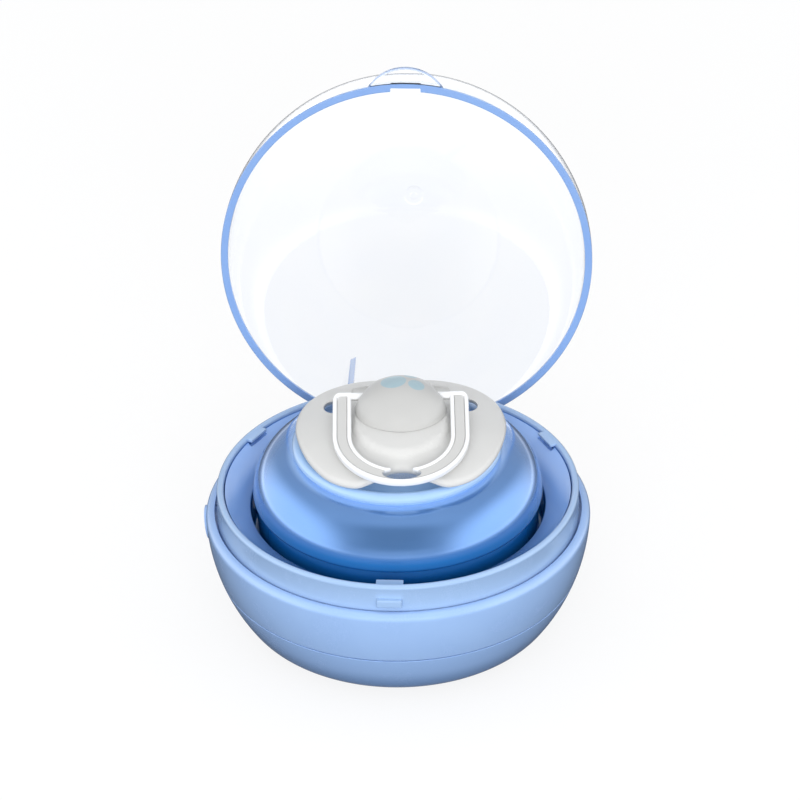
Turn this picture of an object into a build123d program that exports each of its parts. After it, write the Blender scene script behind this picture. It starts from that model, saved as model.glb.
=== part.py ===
from build123d import *
import math
import os

# A pocket case that cleans one pacifier with ultraviolet light. Closed, it is a ball with a flat
# bottom. Millimetres, +Z up, the latch at the front (-Y), the hinge at the back (+Y). The origin
# is on the rest surface, below the ball's centre. The lid is built closed and then swung open.

# ---- Base: one ball, cut flat below -------------------------------------------------------------
ball_radius = 44.0
ball_centre_z = 28.0        # also the height of the shell's top edge
shell_wall = 2.0
shell_inner = ball_radius - shell_wall
cover_floor_z = 0.4         # underside of the bottom cover
inner_floor_z = cover_floor_z + shell_wall
floor_bend = 8.0            # radius between the flat underside and the ball
seam_drop = 13.7            # from the ball's centre down to the seam
seam_z = ball_centre_z - seam_drop
seam_gap = 0.3
edge_round = 1.6            # outer edge of the shell's top
fit_gap = 0.15              # between pieces that are pushed together
touch_gap = 0.1             # between faces that only meet in use
running_gap = 0.05          # round pieces that slide or turn
thread_gap = 0.05
rib_reach = ball_radius - 2.6           # ribs inside the shell end in its wall

tongue_wall = 1.15          # ring on the cover that centres the shell
tongue_gap = 0.3
tongue_outer = math.sqrt(shell_inner**2 - (seam_drop - seam_gap / 2) ** 2) - tongue_gap
tongue_top = seam_z + 1.7
tongue_bottom = seam_z - 2.0
inner_rib_z = tongue_top + 0.4

# ---- Foot pad and cover screws ------------------------------------------------------------------
pad_radius = ball_radius - 18.0
pad_thick = 1.0
screw_circle = ball_radius - 11.5
screw_angles = (45, 135, 225, 315)
screw_shank = 1.0
screw_head = 2.0
screw_head_thick = 1.4
screw_cross = (2.4, 0.5, 1.4)
boss_radius = 2.9
boss_top = seam_z + 0.3
boss_seat_z = 9.0           # where the screw head bears
shell_boss_radius = 2.2
shell_boss_top = seam_z + 4.9
boss_web = 1.1              # half thickness

# ---- Collar, on a ledge in the shell ------------------------------------------------------------
collar_outer = ball_radius - 2.5
collar_top_outer = collar_outer - 0.3
collar_inner = collar_outer - 1.9
collar_top_z = ball_centre_z + 6.1
collar_shoulder_z = collar_top_z - 1.2
collar_step_z = collar_top_z - 2.6      # inside step that carries the liner
collar_step_inner = collar_inner - 0.6
collar_step_height = 2.2
ledge_inner = collar_inner - 0.2
ledge_top = ball_centre_z - 1.0
ledge_thick = 1.6
latch_width = 5.6
latch_out = collar_outer + 0.85
latch_z = (ball_centre_z + 1.1, ball_centre_z + 3.0)
latch_chamfer = 0.4

# ---- Liner --------------------------------------------------------------------------------------
liner_wall = 1.4
liner_rim_r = collar_inner - fit_gap
liner_rim_z = collar_top_z - 0.9
trough_r = collar_inner - 6.1
trough_z = ball_centre_z - 7.0
shelf_outer = (collar_inner - 1.7, liner_rim_z - 1.2)
shelf_inner = (trough_r + 0.2, liner_rim_z - 4.3)
chamber_r = trough_r - 5.7
chamber_draft = 0.4
chamber_z = trough_z - 4.8
tab_width = 6.0             # tabs on the collar that hold the liner down
tab_angles = (-90, 30, 150)
tab_inner = collar_inner - 1.3
tab_z = (liner_rim_z + 0.1, liner_rim_z + 0.8)
liner_slot_width = 6.4      # moulding slots in the liner's edge

# ---- Holder in the middle -----------------------------------------------------------------------
holder_wall = 1.6
holder_skirt_r = trough_r - 1.3
holder_edge_r = holder_skirt_r + 0.8
holder_edge_z = ball_centre_z + 5.0     # height of the widest line
holder_edge_drop = 1.4
holder_neck_r = 22.8
lip_outer = holder_neck_r + 1.0
lip_inner = lip_outer - 2.8
lip_bottom_z = holder_edge_z + holder_edge_r - holder_neck_r + 0.4
lip_top_z = lip_bottom_z + 2.2
recess_z = lip_top_z - 1.8
well_radius = 15.0
well_bottom_z = recess_z - 3.4

# ---- Window, lamps, boards ----------------------------------------------------------------------
window_radius = 12.0
window_thick = 1.0
gasket_thick = 0.3
window_hole = window_radius - 1.2
window_seat = chamber_z - window_thick - gasket_thick
window_boss_r = window_radius + 1.2
window_boss_z = window_seat - 1.3
lamp_count = 3
lamp_circle = 5.5
lamp_size = 3.5
lamp_thick = 1.2
lamp_lens_r = 1.26
lamp_lens_z = (-0.3, 0.1)   # from the top of the lamp's block
lamp_board_r = 16.5
lamp_board_z = window_boss_z - 2.4
lamp_board_thick = 0.8
spreader_r = lamp_board_r - 0.3
spreader_flat_x = 14.6      # cut off here, where the lamp leads pass
spreader_thick = 0.6
lamp_screw_circle = 14.4
lamp_boss_radius = 1.7
board_r = ball_radius - 15.5
board_thick = 1.0
board_screw_circle = board_r - 3.0
board_screw_angles = (90, 210, 330)
board_screw_depth = 4.0
post_radius = 2.2
chip_size = 8.0
chip_thick = 1.0
small_shank = 0.8
small_head = 1.6
small_head_thick = 0.9
small_hole = small_shank + 0.3

# ---- Battery, below the main board --------------------------------------------------------------
cell_length = 36.0
cell_width = 28.0
cell_thick = 4.5
cell_round = 1.2
cell_pad_thick = 0.5
cell_pad_inset = 1.0
cell_frame_wall = 1.2
cell_frame_height = 3.0
cell_seat_z = inner_floor_z + cell_pad_thick
cell_middle_z = cell_seat_z + cell_thick / 2
board_z = cell_seat_z + cell_thick + 1.0
board_top = board_z + board_thick
lead_radius = 0.45
lead_x = board_r - 1.5      # where leads from the side meet the main board
lead_level = board_top + 2.8
frame_gap_half = 4.0        # gap in the cell's frame, for its leads

# ---- Power button, on the left ------------------------------------------------------------------
button_radius = 3.9
button_proud = 0.6
button_gap = 0.15
button_flange_r = button_radius + 0.45
button_head_room = 0.35     # between the flange and the collar above it
button_z = ledge_top - button_head_room - button_flange_r
button_flange_x = (ball_radius - 3.6, ball_radius - 4.3)
button_room_x = (ball_radius - 2.8, ball_radius - 9.0)
button_stem_r = 1.5
switch_face_x = ball_radius - 6.2
switch_thick = 1.2
switch_size = 4.5
nib_radius = 0.9
nib_out = 0.6
nib_in = 0.4
nib_room = 0.7              # bore past the nib's inner end
switch_board_thick = 0.8
switch_board_half = button_flange_r + 0.6
switch_board_z = (button_z - 5.7, button_z + 2.7)
switch_board_back_x = switch_face_x - switch_thick - switch_board_thick
switch_post_wall = 1.4
switch_post_lap = 0.2

# ---- Charging port, on the right ----------------------------------------------------------------
port_z = ball_centre_z - 11.0
port_width = 9.0
port_height = 3.2
port_length = 7.3
port_mouth_x = ball_radius - 2.3
port_shell = 0.3
port_back = 1.2             # closed part behind the mouth
port_tongue = (6.6, 0.7)
port_tongue_set_in = 0.8
port_hole_gap = 0.4
port_recess = (12.6, 4.8, 0.8)
port_cut_x = ball_radius - 6.0
charge_board_thick = 0.8
charge_board_z = port_z - port_height / 2 - charge_board_thick
charge_board_top = charge_board_z + charge_board_thick
charge_board_x = (ball_radius - 10.2, ball_radius - 5.6)
charge_board_half = 7.4
charge_boss_y = (4.9, 7.4)
charge_boss_height = 3.4
charge_screw = (ball_radius - 7.2, 6.2)

# ---- Hinge and lid ------------------------------------------------------------------------------
hinge_y = ball_radius - 3.8
hinge_z = ball_centre_z - 4.0
open_angle = 98.0
pin_radius = 1.0
pin_half = 8.9
knuckle_radius = 2.6
knuckle_half = 5.0
knuckle_back = 1.2          # the knuckle's foot reaches this far behind the pin
ear_x = (5.3, 9.0)
ear_height = 2.4            # above the lid's rim
ear_gap = 0.25
slot_half = 9.6
slot_front_y = hinge_y - 3.4
slot_bottom_z = hinge_z - 4.5
lid_outer = ball_radius - 0.2
lid_wall = 1.7
lid_inner = lid_outer - lid_wall
lid_rim_z = ball_centre_z + 0.5
lid_band = 1.3              # straight part above the rim
lid_centre_z = lid_rim_z + lid_band
nub_radius = 2.4
nub_height = 0.9
nub_dimple_r = 0.96
nub_dimple = 0.4
finger_radius = 10.2
finger_reach = 4.0
finger_thick = 1.5
notch_width = 7.0
notch_depth = 0.8
notch_height = 3.0
rib_x = -14.0
rib_wall = 1.3
rib_foot_y = hinge_y - 3.1
rib_top_angle = 33.0

# ---- Interlock, under the lid's rib -------------------------------------------------------------
plunger_radius = 0.8
plunger_circle = collar_inner + 0.3
plunger_top_z = lid_rim_z - 0.3
plunger_length = 6.7
lock_radial = (plunger_circle - 1.7, plunger_circle + 1.3)
lock_half = 2.2
lock_z = (ball_centre_z - 8.0, ball_centre_z - 3.0)
lock_floor = 0.4            # below the plunger's bore
lock_bracket = 1.4
lock_slot_half = 1.2
lock_slot_y = (hinge_y - 4.8, hinge_y + 5.8)
lock_lead_z = lock_z[0] + 1.2
lock_lead_out = 1.8         # the leads go down this far in from the switch
lock_lead_gap = 2.5         # and turn inward before they come this close to the cover's wall

# ---- Pacifier, on the holder's lip --------------------------------------------------------------
pacifier_x = 0.9            # it is laid down a little beside the middle
pacifier_turn = 3.1         # and turned by this angle
shield_ball = 75.0          # the shield follows a ball
shield_centre = (0.0, 3.0, lip_top_z - 67.8)
shield_thick = 1.8
shield_front = (
    (0, -18.2), (3.0, -18.7), (6.6, -20.6), (11.0, -21.3), (16.8, -17.8), (21.4, -10.3), (23.8, 0),
)
shield_back = ((23.8, 0), (22.6, 8.2), (18.6, 13.4), (13.0, 16.0), (6.5, 16.4), (0, 15.2))
plateau_rise = 1.2
plateau_half = (10.9, 12.4)
plateau_y = -2.5
shield_boss_r = 11.0
shield_boss_z = lip_top_z + 3.5
teat_neck_r = 6.0
teat_flange_r = 8.5
teat_seat_z = lip_top_z + 5.1
teat_flange_thick = 1.2
teat_wall = 1.2
teat_straight_z = lip_top_z - 1.8
teat_waist = (teat_neck_r - 1.0, lip_top_z - 7.8)
teat_bulb = (7.8, lip_top_z - 19.8)
teat_tip_z = lip_top_z - 27.8
plug_flange_thick = 1.2
plug_stem_z = lip_top_z + 0.2
plug_gap = 0.1
knob_half = (10.4, 9.2, 7.8)
knob_centre = (0.0, 0.5, lip_top_z + 7.1)
knob_bore_x = 6.0
ring_pivot_y = 3.5
ring_pivot_z = lip_top_z + 9.3
scoop_half = (5.4, 5.0, 9.0)        # hollow in each side of the knob, where the ring turns
scoop_centre = (11.8, ring_pivot_y + 1.9, ring_pivot_z + 1.9)
ring_outer = 15.3
ring_band = 4.2
ring_thick = 2.0
ring_bend_y = -13.2         # centre of the round end, from the pivot
ring_rest_angle = 10.7
ring_pin_r = 0.9
ring_pin_inner = knob_bore_x + 0.2
ring_pin_gap = 0.08
grip_half = (4.3, 1.9)      # window at the end of the ring, open to the inside
grip_bar = 1.0
vent_x = 15.0
vent_y = 5.6
vent_radius = 2.4
vent_flat = 0.6             # the inner side of a vent is cut straight, this far in from its middle
shield_z = (lip_top_z - 5.0, lip_top_z + 15.0)      # heights that hold the whole shield


# ---- Helpers ------------------------------------------------------------------------------------
def turned(*points):
    """Turn a closed outline of (radius, height) points about Z."""
    outline = Polyline(*[(r, 0, z) for r, z in points], close=True)
    return revolve(make_face(outline), Axis.Z)


def turned_edges(*edges):
    """Turn a closed outline of edges in the XZ plane about Z."""
    return revolve(make_face(list(edges)), Axis.Z)


def line(start, end):
    return Line((start[0], 0, start[1]), (end[0], 0, end[1]))


def arc(start, middle, end):
    return ThreePointArc(*[(r, 0, z) for r, z in (start, middle, end)])


def on_circle(centre, radius, angle):
    """The (r, z) point of a circle at an angle in degrees from level."""
    turn = math.radians(angle)
    return (centre[0] + radius * math.cos(turn), centre[1] + radius * math.sin(turn))


def slab(bottom, top, half=80):
    """A wide level slice between two heights."""
    return Pos(0, 0, (bottom + top) / 2) * Box(2 * half, 2 * half, top - bottom)


def block(x, y, z):
    """A box between two values on each axis."""
    size = [high - low for low, high in (x, y, z)]
    centre = [(high + low) / 2 for low, high in (x, y, z)]
    return Pos(*centre) * Box(*size)


def rod(radius, bottom, top, x=0.0, y=0.0):
    """An upright cylinder between two heights."""
    return Pos(x, y, (bottom + top) / 2) * Cylinder(radius, top - bottom)


def rod_along_x(radius, start, end, y, z):
    """A cylinder along X between two values."""
    middle = Pos((start + end) / 2, y, z)
    return middle * Rot(0, 90, 0) * Cylinder(radius, abs(end - start))


def stadium_along_x(width, height, start, end):
    """A bar along X with round sides, at the port's height."""
    outline = Plane.YZ * RectangleRounded(width, height, height / 2 - 0.05)
    return Pos(start, 0, port_z) * extrude(outline, end - start)


def around(angles, shape):
    """Copies of a shape that is drawn on the X axis, turned about Z."""
    return [Rot(0, 0, angle) * shape for angle in angles]


def group(shapes):
    """Several separate solids under one name."""
    return Compound(children=[Part() + shape for shape in shapes])


def tube(radius, bends, points):
    """A wire along straight runs with rounded corners."""
    path = FilletPolyline(*points, radius=bends)
    section = Plane(origin=path @ 0, z_dir=path % 0) * Circle(radius)
    return sweep(section, path=path)


def bowl(inset, top, edge=0.0):
    """The base's round outline moved in by inset, solid, cut off level at top, its edge rounded."""
    floor = cover_floor_z + inset
    bend_z = cover_floor_z + floor_bend
    drop = ball_centre_z - bend_z
    bend_r = math.sqrt((ball_radius - floor_bend) ** 2 - drop**2)
    meet_angle = -math.degrees(math.atan2(drop, bend_r))
    ball = (0, ball_centre_z)
    bend = (bend_r, bend_z)
    radius = ball_radius - inset
    top_angle = math.degrees(math.asin((top - edge - ball_centre_z) / (radius - edge)))
    low = (bend_r, floor)
    meet = on_circle(ball, radius, meet_angle)
    high = on_circle(ball, radius, top_angle)
    edges = [
        line((0, floor), low),
        arc(low, on_circle(bend, floor_bend - inset, (meet_angle - 90) / 2), meet),
        arc(meet, on_circle(ball, radius, (meet_angle + top_angle) / 2), high),
    ]
    if edge:
        corner = on_circle(ball, radius - edge, top_angle)
        rounded = (corner[0], top)
        edges.append(arc(high, on_circle(corner, edge, (top_angle + 90) / 2), rounded))
        high = rounded
    return turned_edges(*edges, line(high, (0, top)), line((0, top), (0, floor)))


def half_ball(radius, rim, centre):
    """A dome on a short straight band: the lid's outside or inside."""
    side = (radius, centre)
    top = (0, centre + radius)
    return turned_edges(
        line((0, rim), (radius, rim)),
        line((radius, rim), side),
        arc(side, on_circle((0, centre), radius, 45), top),
        line(top, (0, rim)),
    )


def write(name, shape):
    """Save one sub-part."""
    shape.label = name
    export_step(shape, f"parts/{name}.step")


# ---- Base ---------------------------------------------------------------------------------------
def make_foot_pad():
    """Thin soft disc that the case stands on."""
    return rod(pad_radius, 0, pad_thick)


def make_bottom_cover():
    """Lower bowl, with screw wells, board posts and a low frame round the cell."""
    cover = bowl(0, seam_z - seam_gap / 2) - bowl(shell_wall, seam_z)
    tongue = rod(tongue_outer, tongue_bottom, tongue_top)
    tongue -= rod(tongue_outer - tongue_wall, tongue_bottom - 1, tongue_top + 1)
    port_side = charge_board_half + 2 * fit_gap
    tongue -= block((0, ball_radius), (-port_side, port_side), (seam_z - 1.4, tongue_top + 1))
    cover += tongue
    boss = rod(boss_radius, inner_floor_z - 1, boss_top, screw_circle)
    cover += [part & bowl(0, boss_top + 1) for part in around(screw_angles, boss)]
    cover -= around(screw_angles, rod(screw_shank + fit_gap, 0, boss_top + 1, screw_circle))
    cover -= around(screw_angles, rod(screw_head + fit_gap, -1, boss_seat_z, screw_circle))
    cover -= rod(pad_radius + fit_gap, -1, pad_thick)
    post = rod(post_radius, inner_floor_z, board_z, board_screw_circle)
    pilot_end = board_z - board_screw_depth
    pilot = rod(small_shank + thread_gap, pilot_end, board_z, board_screw_circle)
    cover += around(board_screw_angles, post)
    cover -= around(board_screw_angles, pilot)
    return cover + make_cell_frame()


def make_cell_frame():
    """Low wall round the cell, with a gap where its leads come out."""
    inner_x = cell_length / 2 + 2 * fit_gap
    inner_y = cell_width / 2 + 2 * fit_gap
    outer_x = inner_x + cell_frame_wall
    outer_y = inner_y + cell_frame_wall
    height = (inner_floor_z - 0.5, inner_floor_z + cell_frame_height)
    frame = block((-outer_x, outer_x), (-outer_y, outer_y), height)
    frame -= block((-inner_x, inner_x), (-inner_y, inner_y), (height[0] - 1, height[1] + 1))
    lead_gap = (-frame_gap_half, frame_gap_half)
    return frame - block((-outer_x - 1, 1 - inner_x), lead_gap, (height[0] - 1, height[1] + 1))


def make_base_shell():
    """Upper body with its rounded top edge, hinge knuckle and the seats inside it."""
    shell = bowl(0, ball_centre_z, edge_round) - bowl(shell_wall, ball_centre_z + 1)
    shell &= slab(seam_z + seam_gap / 2, ball_centre_z + 2)
    in_wall = ball_radius - 0.65 * shell_wall
    shell += turned(
        (ledge_inner, ledge_top - ledge_thick),
        (ledge_inner, ledge_top),
        (in_wall, ledge_top),
        (in_wall, ledge_top - ledge_thick),
    )
    shell -= make_hinge_slot()
    shell += make_knuckle()
    for angle in screw_angles:
        shell += Rot(0, 0, angle) * make_shell_boss()
    shell -= make_button_opening()
    shell += make_switch_posts()
    shell -= make_port_opening()
    shell += make_port_bosses()
    lock_angle = lock_direction()
    shell -= Rot(0, 0, lock_angle) * block(
        (ledge_inner - 1, shell_inner - 0.5),
        (-lock_half - 2 * fit_gap, lock_half + 2 * fit_gap),
        (lock_z[0], ledge_top + 1),
    )
    bracket = block(
        (lock_radial[0] - 0.4, rib_reach), (-lock_half, lock_half),
        (lock_z[0] - lock_bracket, lock_z[0]),
    )
    return shell + Rot(0, 0, lock_angle) * bracket


def make_hinge_slot():
    """Opening at the back that the lid's ears swing in."""
    y = (slot_front_y, ball_radius + 1)
    return block((-slot_half, slot_half), y, (slot_bottom_z, ball_centre_z + 2))


def make_knuckle():
    """Fixed middle of the hinge, on a block that stands on the shell's wall."""
    knuckle = rod_along_x(knuckle_radius, -knuckle_half, knuckle_half, hinge_y, hinge_z)
    y = (hinge_y - knuckle_radius + 0.2, hinge_y + knuckle_back)
    foot = block((-knuckle_half, knuckle_half), y, (inner_rib_z, hinge_z))
    bore = rod_along_x(pin_radius, -slot_half, slot_half, hinge_y, hinge_z)
    return knuckle + foot - bore


def make_shell_boss():
    """Boss for a cover screw, on a web from the shell's wall. Drawn on the X axis."""
    boss = rod(shell_boss_radius, boss_top, shell_boss_top, screw_circle)
    boss += block((screw_circle, rib_reach), (-boss_web, boss_web), (inner_rib_z, shell_boss_top))
    return boss - rod(screw_shank + thread_gap, boss_top - 1, shell_boss_top - 1, screw_circle)


def make_button_opening():
    """Round hole for the power button, and room for its flange."""
    outer, inner = button_room_x
    hole = rod_along_x(button_radius + button_gap, -ball_radius - 5, -inner - 3, 0, button_z)
    side = button_flange_r + 4 * button_gap
    return hole + block((-outer, -inner), (-side, side), (button_z, ledge_top + 1))


def make_switch_posts():
    """Two posts that hold the switch board on its edges."""
    posts = []
    for side in (-1, 1):
        near = switch_board_half + running_gap
        span = sorted((side * near, side * (near + switch_post_wall)))
        depth = (-rib_reach, switch_post_lap - switch_board_back_x)
        posts.append(block(depth, span, (inner_rib_z, switch_board_z[1])))
    return posts


def make_port_opening():
    """Hole for the charging port inside a shallow rounded recess."""
    width = port_width + 2 * port_hole_gap
    height = port_height + 2 * port_hole_gap
    outside = ball_radius + 5
    hole = stadium_along_x(width, height, port_cut_x, outside)
    outer_width, outer_height, depth = port_recess
    recess = stadium_along_x(outer_width, outer_height, port_cut_x, outside)
    return hole + recess - Pos(0, 0, ball_centre_z) * Sphere(ball_radius - depth) + hole


def make_port_bosses():
    """Two blocks that the charging board is screwed to."""
    bosses = []
    top = charge_board_top + charge_boss_height
    x, y = charge_screw
    for side in (-1, 1):
        span = sorted(side * value for value in charge_boss_y)
        boss = block((x - small_head - 0.1, rib_reach - 1), span, (charge_board_top, top))
        pilot = rod(small_shank + thread_gap, charge_board_top - 1, top - 0.8, x, side * y)
        bosses.append(boss - pilot)
    return bosses


def make_cover_screws():
    """Four screws that close the base from below."""
    screw = rod(screw_head, boss_seat_z - screw_head_thick, boss_seat_z, screw_circle)
    screw += rod(screw_shank, boss_seat_z, shell_boss_top - 1.5, screw_circle)
    bottom = boss_seat_z - screw_head_thick
    slot = Box(*screw_cross)
    cross = slot + Rot(0, 0, 90) * slot
    return group(around(screw_angles, screw - Pos(screw_circle, 0, bottom) * cross))


# ---- Collar and liner ---------------------------------------------------------------------------
def lock_slot():
    """Cut through the collar and the liner's edge for the lid's rib and the plunger."""
    x = (rib_x - lock_slot_half, rib_x + lock_slot_half)
    return block(x, lock_slot_y, (ledge_top - 0.5, collar_top_z + 2))


def lock_direction():
    """Angle about Z of the plunger, which stands below the rib."""
    return 180 - math.degrees(math.acos(-rib_x / plunger_circle))


def make_collar_ring():
    """Band set in from the shell, with the latch bump and three tabs over the liner."""
    top_outer = (collar_top_outer, collar_shoulder_z)
    top_inner = (collar_inner + 0.1, collar_shoulder_z + 0.5)
    step_low = (collar_step_inner, collar_step_z - collar_step_height)
    top = ((collar_top_outer + collar_inner) / 2, collar_top_z)
    foot_inner = (collar_inner, ledge_top)
    collar = turned_edges(
        line(foot_inner, (collar_outer, ledge_top)),
        line((collar_outer, ledge_top), top_outer),
        arc(top_outer, top, top_inner),
        line(top_inner, (collar_inner, collar_step_z)),
        line((collar_inner, collar_step_z), (collar_step_inner, collar_step_z)),
        line((collar_step_inner, collar_step_z), step_low),
        line(step_low, foot_inner),
    )
    latch = block((collar_outer - 1.2, latch_out), (-latch_width / 2, latch_width / 2), latch_z)
    latch = chamfer(latch.edges().filter_by(Axis.Y).group_by(Axis.X)[-1], latch_chamfer)
    collar += Rot(0, 0, -90) * latch
    tab = block((tab_inner, collar_inner + 0.6), (-tab_width / 2, tab_width / 2), tab_z)
    collar += around(tab_angles, tab)
    return collar - lock_slot()


def make_liner_bowl():
    """Deep bowl: sloping shelf, narrow trough, then the lamp chamber's wall and floor."""
    outer = trough_r + liner_wall
    chamber_outer = chamber_r + liner_wall
    liner = turned(
        (liner_rim_r, liner_rim_z),
        shelf_outer,
        shelf_inner,
        (trough_r, trough_z),
        (chamber_r + chamber_draft, trough_z),
        (chamber_r, chamber_z),
        (window_hole, chamber_z),
        (window_hole, window_boss_z),
        (window_boss_r, window_boss_z),
        (window_boss_r, chamber_z - liner_wall),
        (chamber_outer, chamber_z - liner_wall),
        (chamber_outer, trough_z - liner_wall),
        (outer, trough_z - liner_wall),
        (outer, shelf_inner[1] - liner_wall / 2),
        (collar_step_inner - 0.1, collar_step_z),
        (liner_rim_r, collar_step_z),
    )
    seat = rod(window_radius + fit_gap, window_seat, chamber_z + 1)
    boss = rod(lamp_boss_radius, lamp_board_z + lamp_board_thick, chamber_z - 1, lamp_screw_circle)
    pilot = rod(small_shank + thread_gap, 0, chamber_z - 0.9, lamp_screw_circle)
    liner += around(board_screw_angles, boss)
    liner -= around(board_screw_angles, pilot)
    liner -= seat
    slot = block(
        (shelf_outer[0] + 0.4, liner_rim_r + 1), (-liner_slot_width / 2, liner_slot_width / 2),
        (collar_step_z + 0.7, liner_rim_z + 1),
    )
    liner -= around(tab_angles[1:], slot)
    return liner - lock_slot()


def make_holder_dome():
    """Bell shaped holder: skirt, rounded shoulder, lip, recessed top and the teat's well."""
    shoulder = holder_edge_r - holder_neck_r
    inner_skirt = holder_skirt_r - holder_wall
    centre = (holder_neck_r, holder_edge_z)
    inside = shoulder - holder_wall
    edge = (holder_edge_r, holder_edge_z)
    under_edge = (holder_skirt_r, holder_edge_z - holder_edge_drop)
    skirt_in = (inner_skirt, holder_edge_z - holder_edge_drop)
    neck = (holder_neck_r, holder_edge_z + shoulder)
    lip_low = (lip_outer - 0.5, lip_bottom_z)
    lip_side = (lip_outer, (lip_bottom_z + lip_top_z) / 2)
    lip_high = (lip_outer - 1.0, lip_top_z)
    lip_in = (lip_inner + 0.3, lip_top_z - 0.3)
    roof_in = (holder_neck_r, holder_edge_z + inside)
    low_in = (holder_neck_r + inside, holder_edge_z)
    return turned_edges(
        line((inner_skirt, trough_z), (holder_skirt_r, trough_z)),
        line((holder_skirt_r, trough_z), under_edge),
        arc(under_edge, (holder_edge_r - 0.12, holder_edge_z - 0.8), edge),
        arc(edge, on_circle(centre, shoulder, 45), neck),
        line(neck, lip_low),
        arc(lip_low, lip_side, lip_high),
        arc(lip_high, (lip_inner + 0.9, lip_top_z + 0.02), lip_in),
        line(lip_in, (lip_inner, recess_z)),
        line((lip_inner, recess_z), (well_radius, recess_z)),
        line((well_radius, recess_z), (well_radius, well_bottom_z)),
        line((well_radius, well_bottom_z), (well_radius + holder_wall, well_bottom_z)),
        line((well_radius + holder_wall, well_bottom_z), (well_radius + holder_wall, roof_in[1])),
        line((well_radius + holder_wall, roof_in[1]), roof_in),
        arc(roof_in, on_circle(centre, inside, 45), low_in),
        line(low_in, skirt_in),
        line(skirt_in, (inner_skirt, trough_z)),
    )


# ---- Inside the base ----------------------------------------------------------------------------
def make_window():
    bottom = window_seat + gasket_thick
    return rod(window_radius, bottom, bottom + window_thick)


def make_window_gasket():
    ring = rod(window_radius, window_seat, window_seat + gasket_thick)
    return ring - rod(window_hole, window_seat - 1, window_seat + 1)


def make_lamps():
    """Square lamps on their board."""
    top = lamp_board_z + lamp_board_thick
    half = lamp_size / 2
    lamp = block((lamp_circle - half, lamp_circle + half), (-half, half), (top, top + lamp_thick))
    lens_z = [top + lamp_thick + offset for offset in lamp_lens_z]
    lens = rod(lamp_lens_r, *lens_z, lamp_circle)
    angles = [i * 360 / lamp_count for i in range(lamp_count)]
    return group(around(angles, lamp + lens))


def make_lamp_board():
    top = lamp_board_z + lamp_board_thick
    hole = rod(small_hole, lamp_board_z - 1, top + 1, lamp_screw_circle)
    return rod(lamp_board_r, lamp_board_z, top) - around(board_screw_angles, hole)


def make_heat_spreader():
    bottom = lamp_board_z - spreader_thick
    plate = rod(spreader_r, bottom, lamp_board_z)
    plate -= around(board_screw_angles, rod(small_hole, bottom - 1, lamp_board_z + 1, lamp_screw_circle))
    return plate - block((-lamp_board_r, -spreader_flat_x), (-3, 3), (bottom - 1, lamp_board_z + 1))


def make_main_board():
    hole = rod(small_hole, board_z - 1, board_top + 1, board_screw_circle)
    return rod(board_r, board_z, board_top) - around(board_screw_angles, hole)


def make_main_chip():
    half = chip_size / 2
    return block((-half, half), (-half, half), (board_top, board_top + chip_thick))


def small_screw(x, seat, tip, y=0.0):
    """A small screw whose head bears at seat and whose point is at tip."""
    away = -1 if tip > seat else 1
    head = sorted((seat, seat + away * small_head_thick))
    shank = sorted((seat, tip))
    return rod(small_head, head[0], head[1], x, y) + rod(small_shank, shank[0], shank[1], x, y)


def make_board_screws():
    """Screws of the main board, the lamp board and the charging board."""
    tip = board_top - board_screw_depth
    screws = around(board_screw_angles, small_screw(board_screw_circle, board_top, tip))
    seat = lamp_board_z - spreader_thick
    tip = chamber_z - liner_wall
    screws += around(board_screw_angles, small_screw(lamp_screw_circle, seat, tip))
    x, y = charge_screw
    tip = charge_board_top + 2
    screws += [small_screw(x, charge_board_z, tip, side * y) for side in (-1, 1)]
    return group(screws)


def make_battery_cell():
    half_x = cell_length / 2
    half_y = cell_width / 2
    cell = block((-half_x, half_x), (-half_y, half_y), (cell_seat_z, cell_seat_z + cell_thick))
    return fillet(cell.edges().filter_by(Axis.Y), cell_round)


def make_battery_pad():
    half_x = cell_length / 2 - cell_pad_inset
    half_y = cell_width / 2 - cell_pad_inset
    return block((-half_x, half_x), (-half_y, half_y), (inner_floor_z, cell_seat_z))


def wire_pair(bends, points, half_gap):
    """Two leads side by side along the same route, drawn in the XZ plane."""
    wires = []
    for side in (-1, 1):
        route = [(x, side * half_gap, z) for x, z in points]
        wires.append(tube(lead_radius, bends, route))
    return wires


def make_battery_leads():
    start = -cell_length / 2
    turn = start - 4
    points = ((start, cell_middle_z), (turn, cell_middle_z), (turn, board_z))
    return group(wire_pair(1.2, points, 1.5))


def make_lamp_leads():
    x = -(spreader_flat_x + lamp_board_r) / 2 - 0.4
    return group([rod(lead_radius, board_top, lamp_board_z, x, side * 1.2) for side in (-1, 1)])


def make_switch_leads():
    x = -(switch_board_back_x + switch_board_thick / 2)
    level = lead_level + 0.2
    points = ((x, switch_board_z[0]), (x, level), (-lead_x, level), (-lead_x, board_top))
    return group(wire_pair(1.3, points, 1.5))


def make_charge_leads():
    x = charge_board_x[0] + 1.2
    points = ((x, charge_board_z), (x, lead_level), (lead_x, lead_level), (lead_x, board_top))
    return group(wire_pair(1.0, points, 1.5))


def make_lock_leads():
    start = lock_radial[0]
    down = start - lock_lead_out
    wall_drop = math.sqrt(shell_inner**2 - (down + lock_lead_gap) ** 2)
    level = max(lead_level, ball_centre_z - wall_drop)
    points = (
        (start, lock_lead_z), (down, lock_lead_z), (down, level),
        (lead_x, level), (lead_x, board_top),
    )
    return group([Rot(0, 0, lock_direction()) * wire for wire in wire_pair(0.9, points, 0.9)])


def make_switch_board():
    back = -switch_board_back_x
    half = switch_board_half
    return block((back - switch_board_thick, back), (-half, half), switch_board_z)


def make_button_switch():
    """Small push switch, with the bore that its nib slides in."""
    half = switch_size / 2
    face = -switch_face_x
    body = block((face, face + switch_thick), (-half, half), (button_z - half, button_z + half))
    bore_end = face + nib_in + nib_room
    return body - rod_along_x(nib_radius + running_gap, face - 1, bore_end, 0, button_z)


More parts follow.
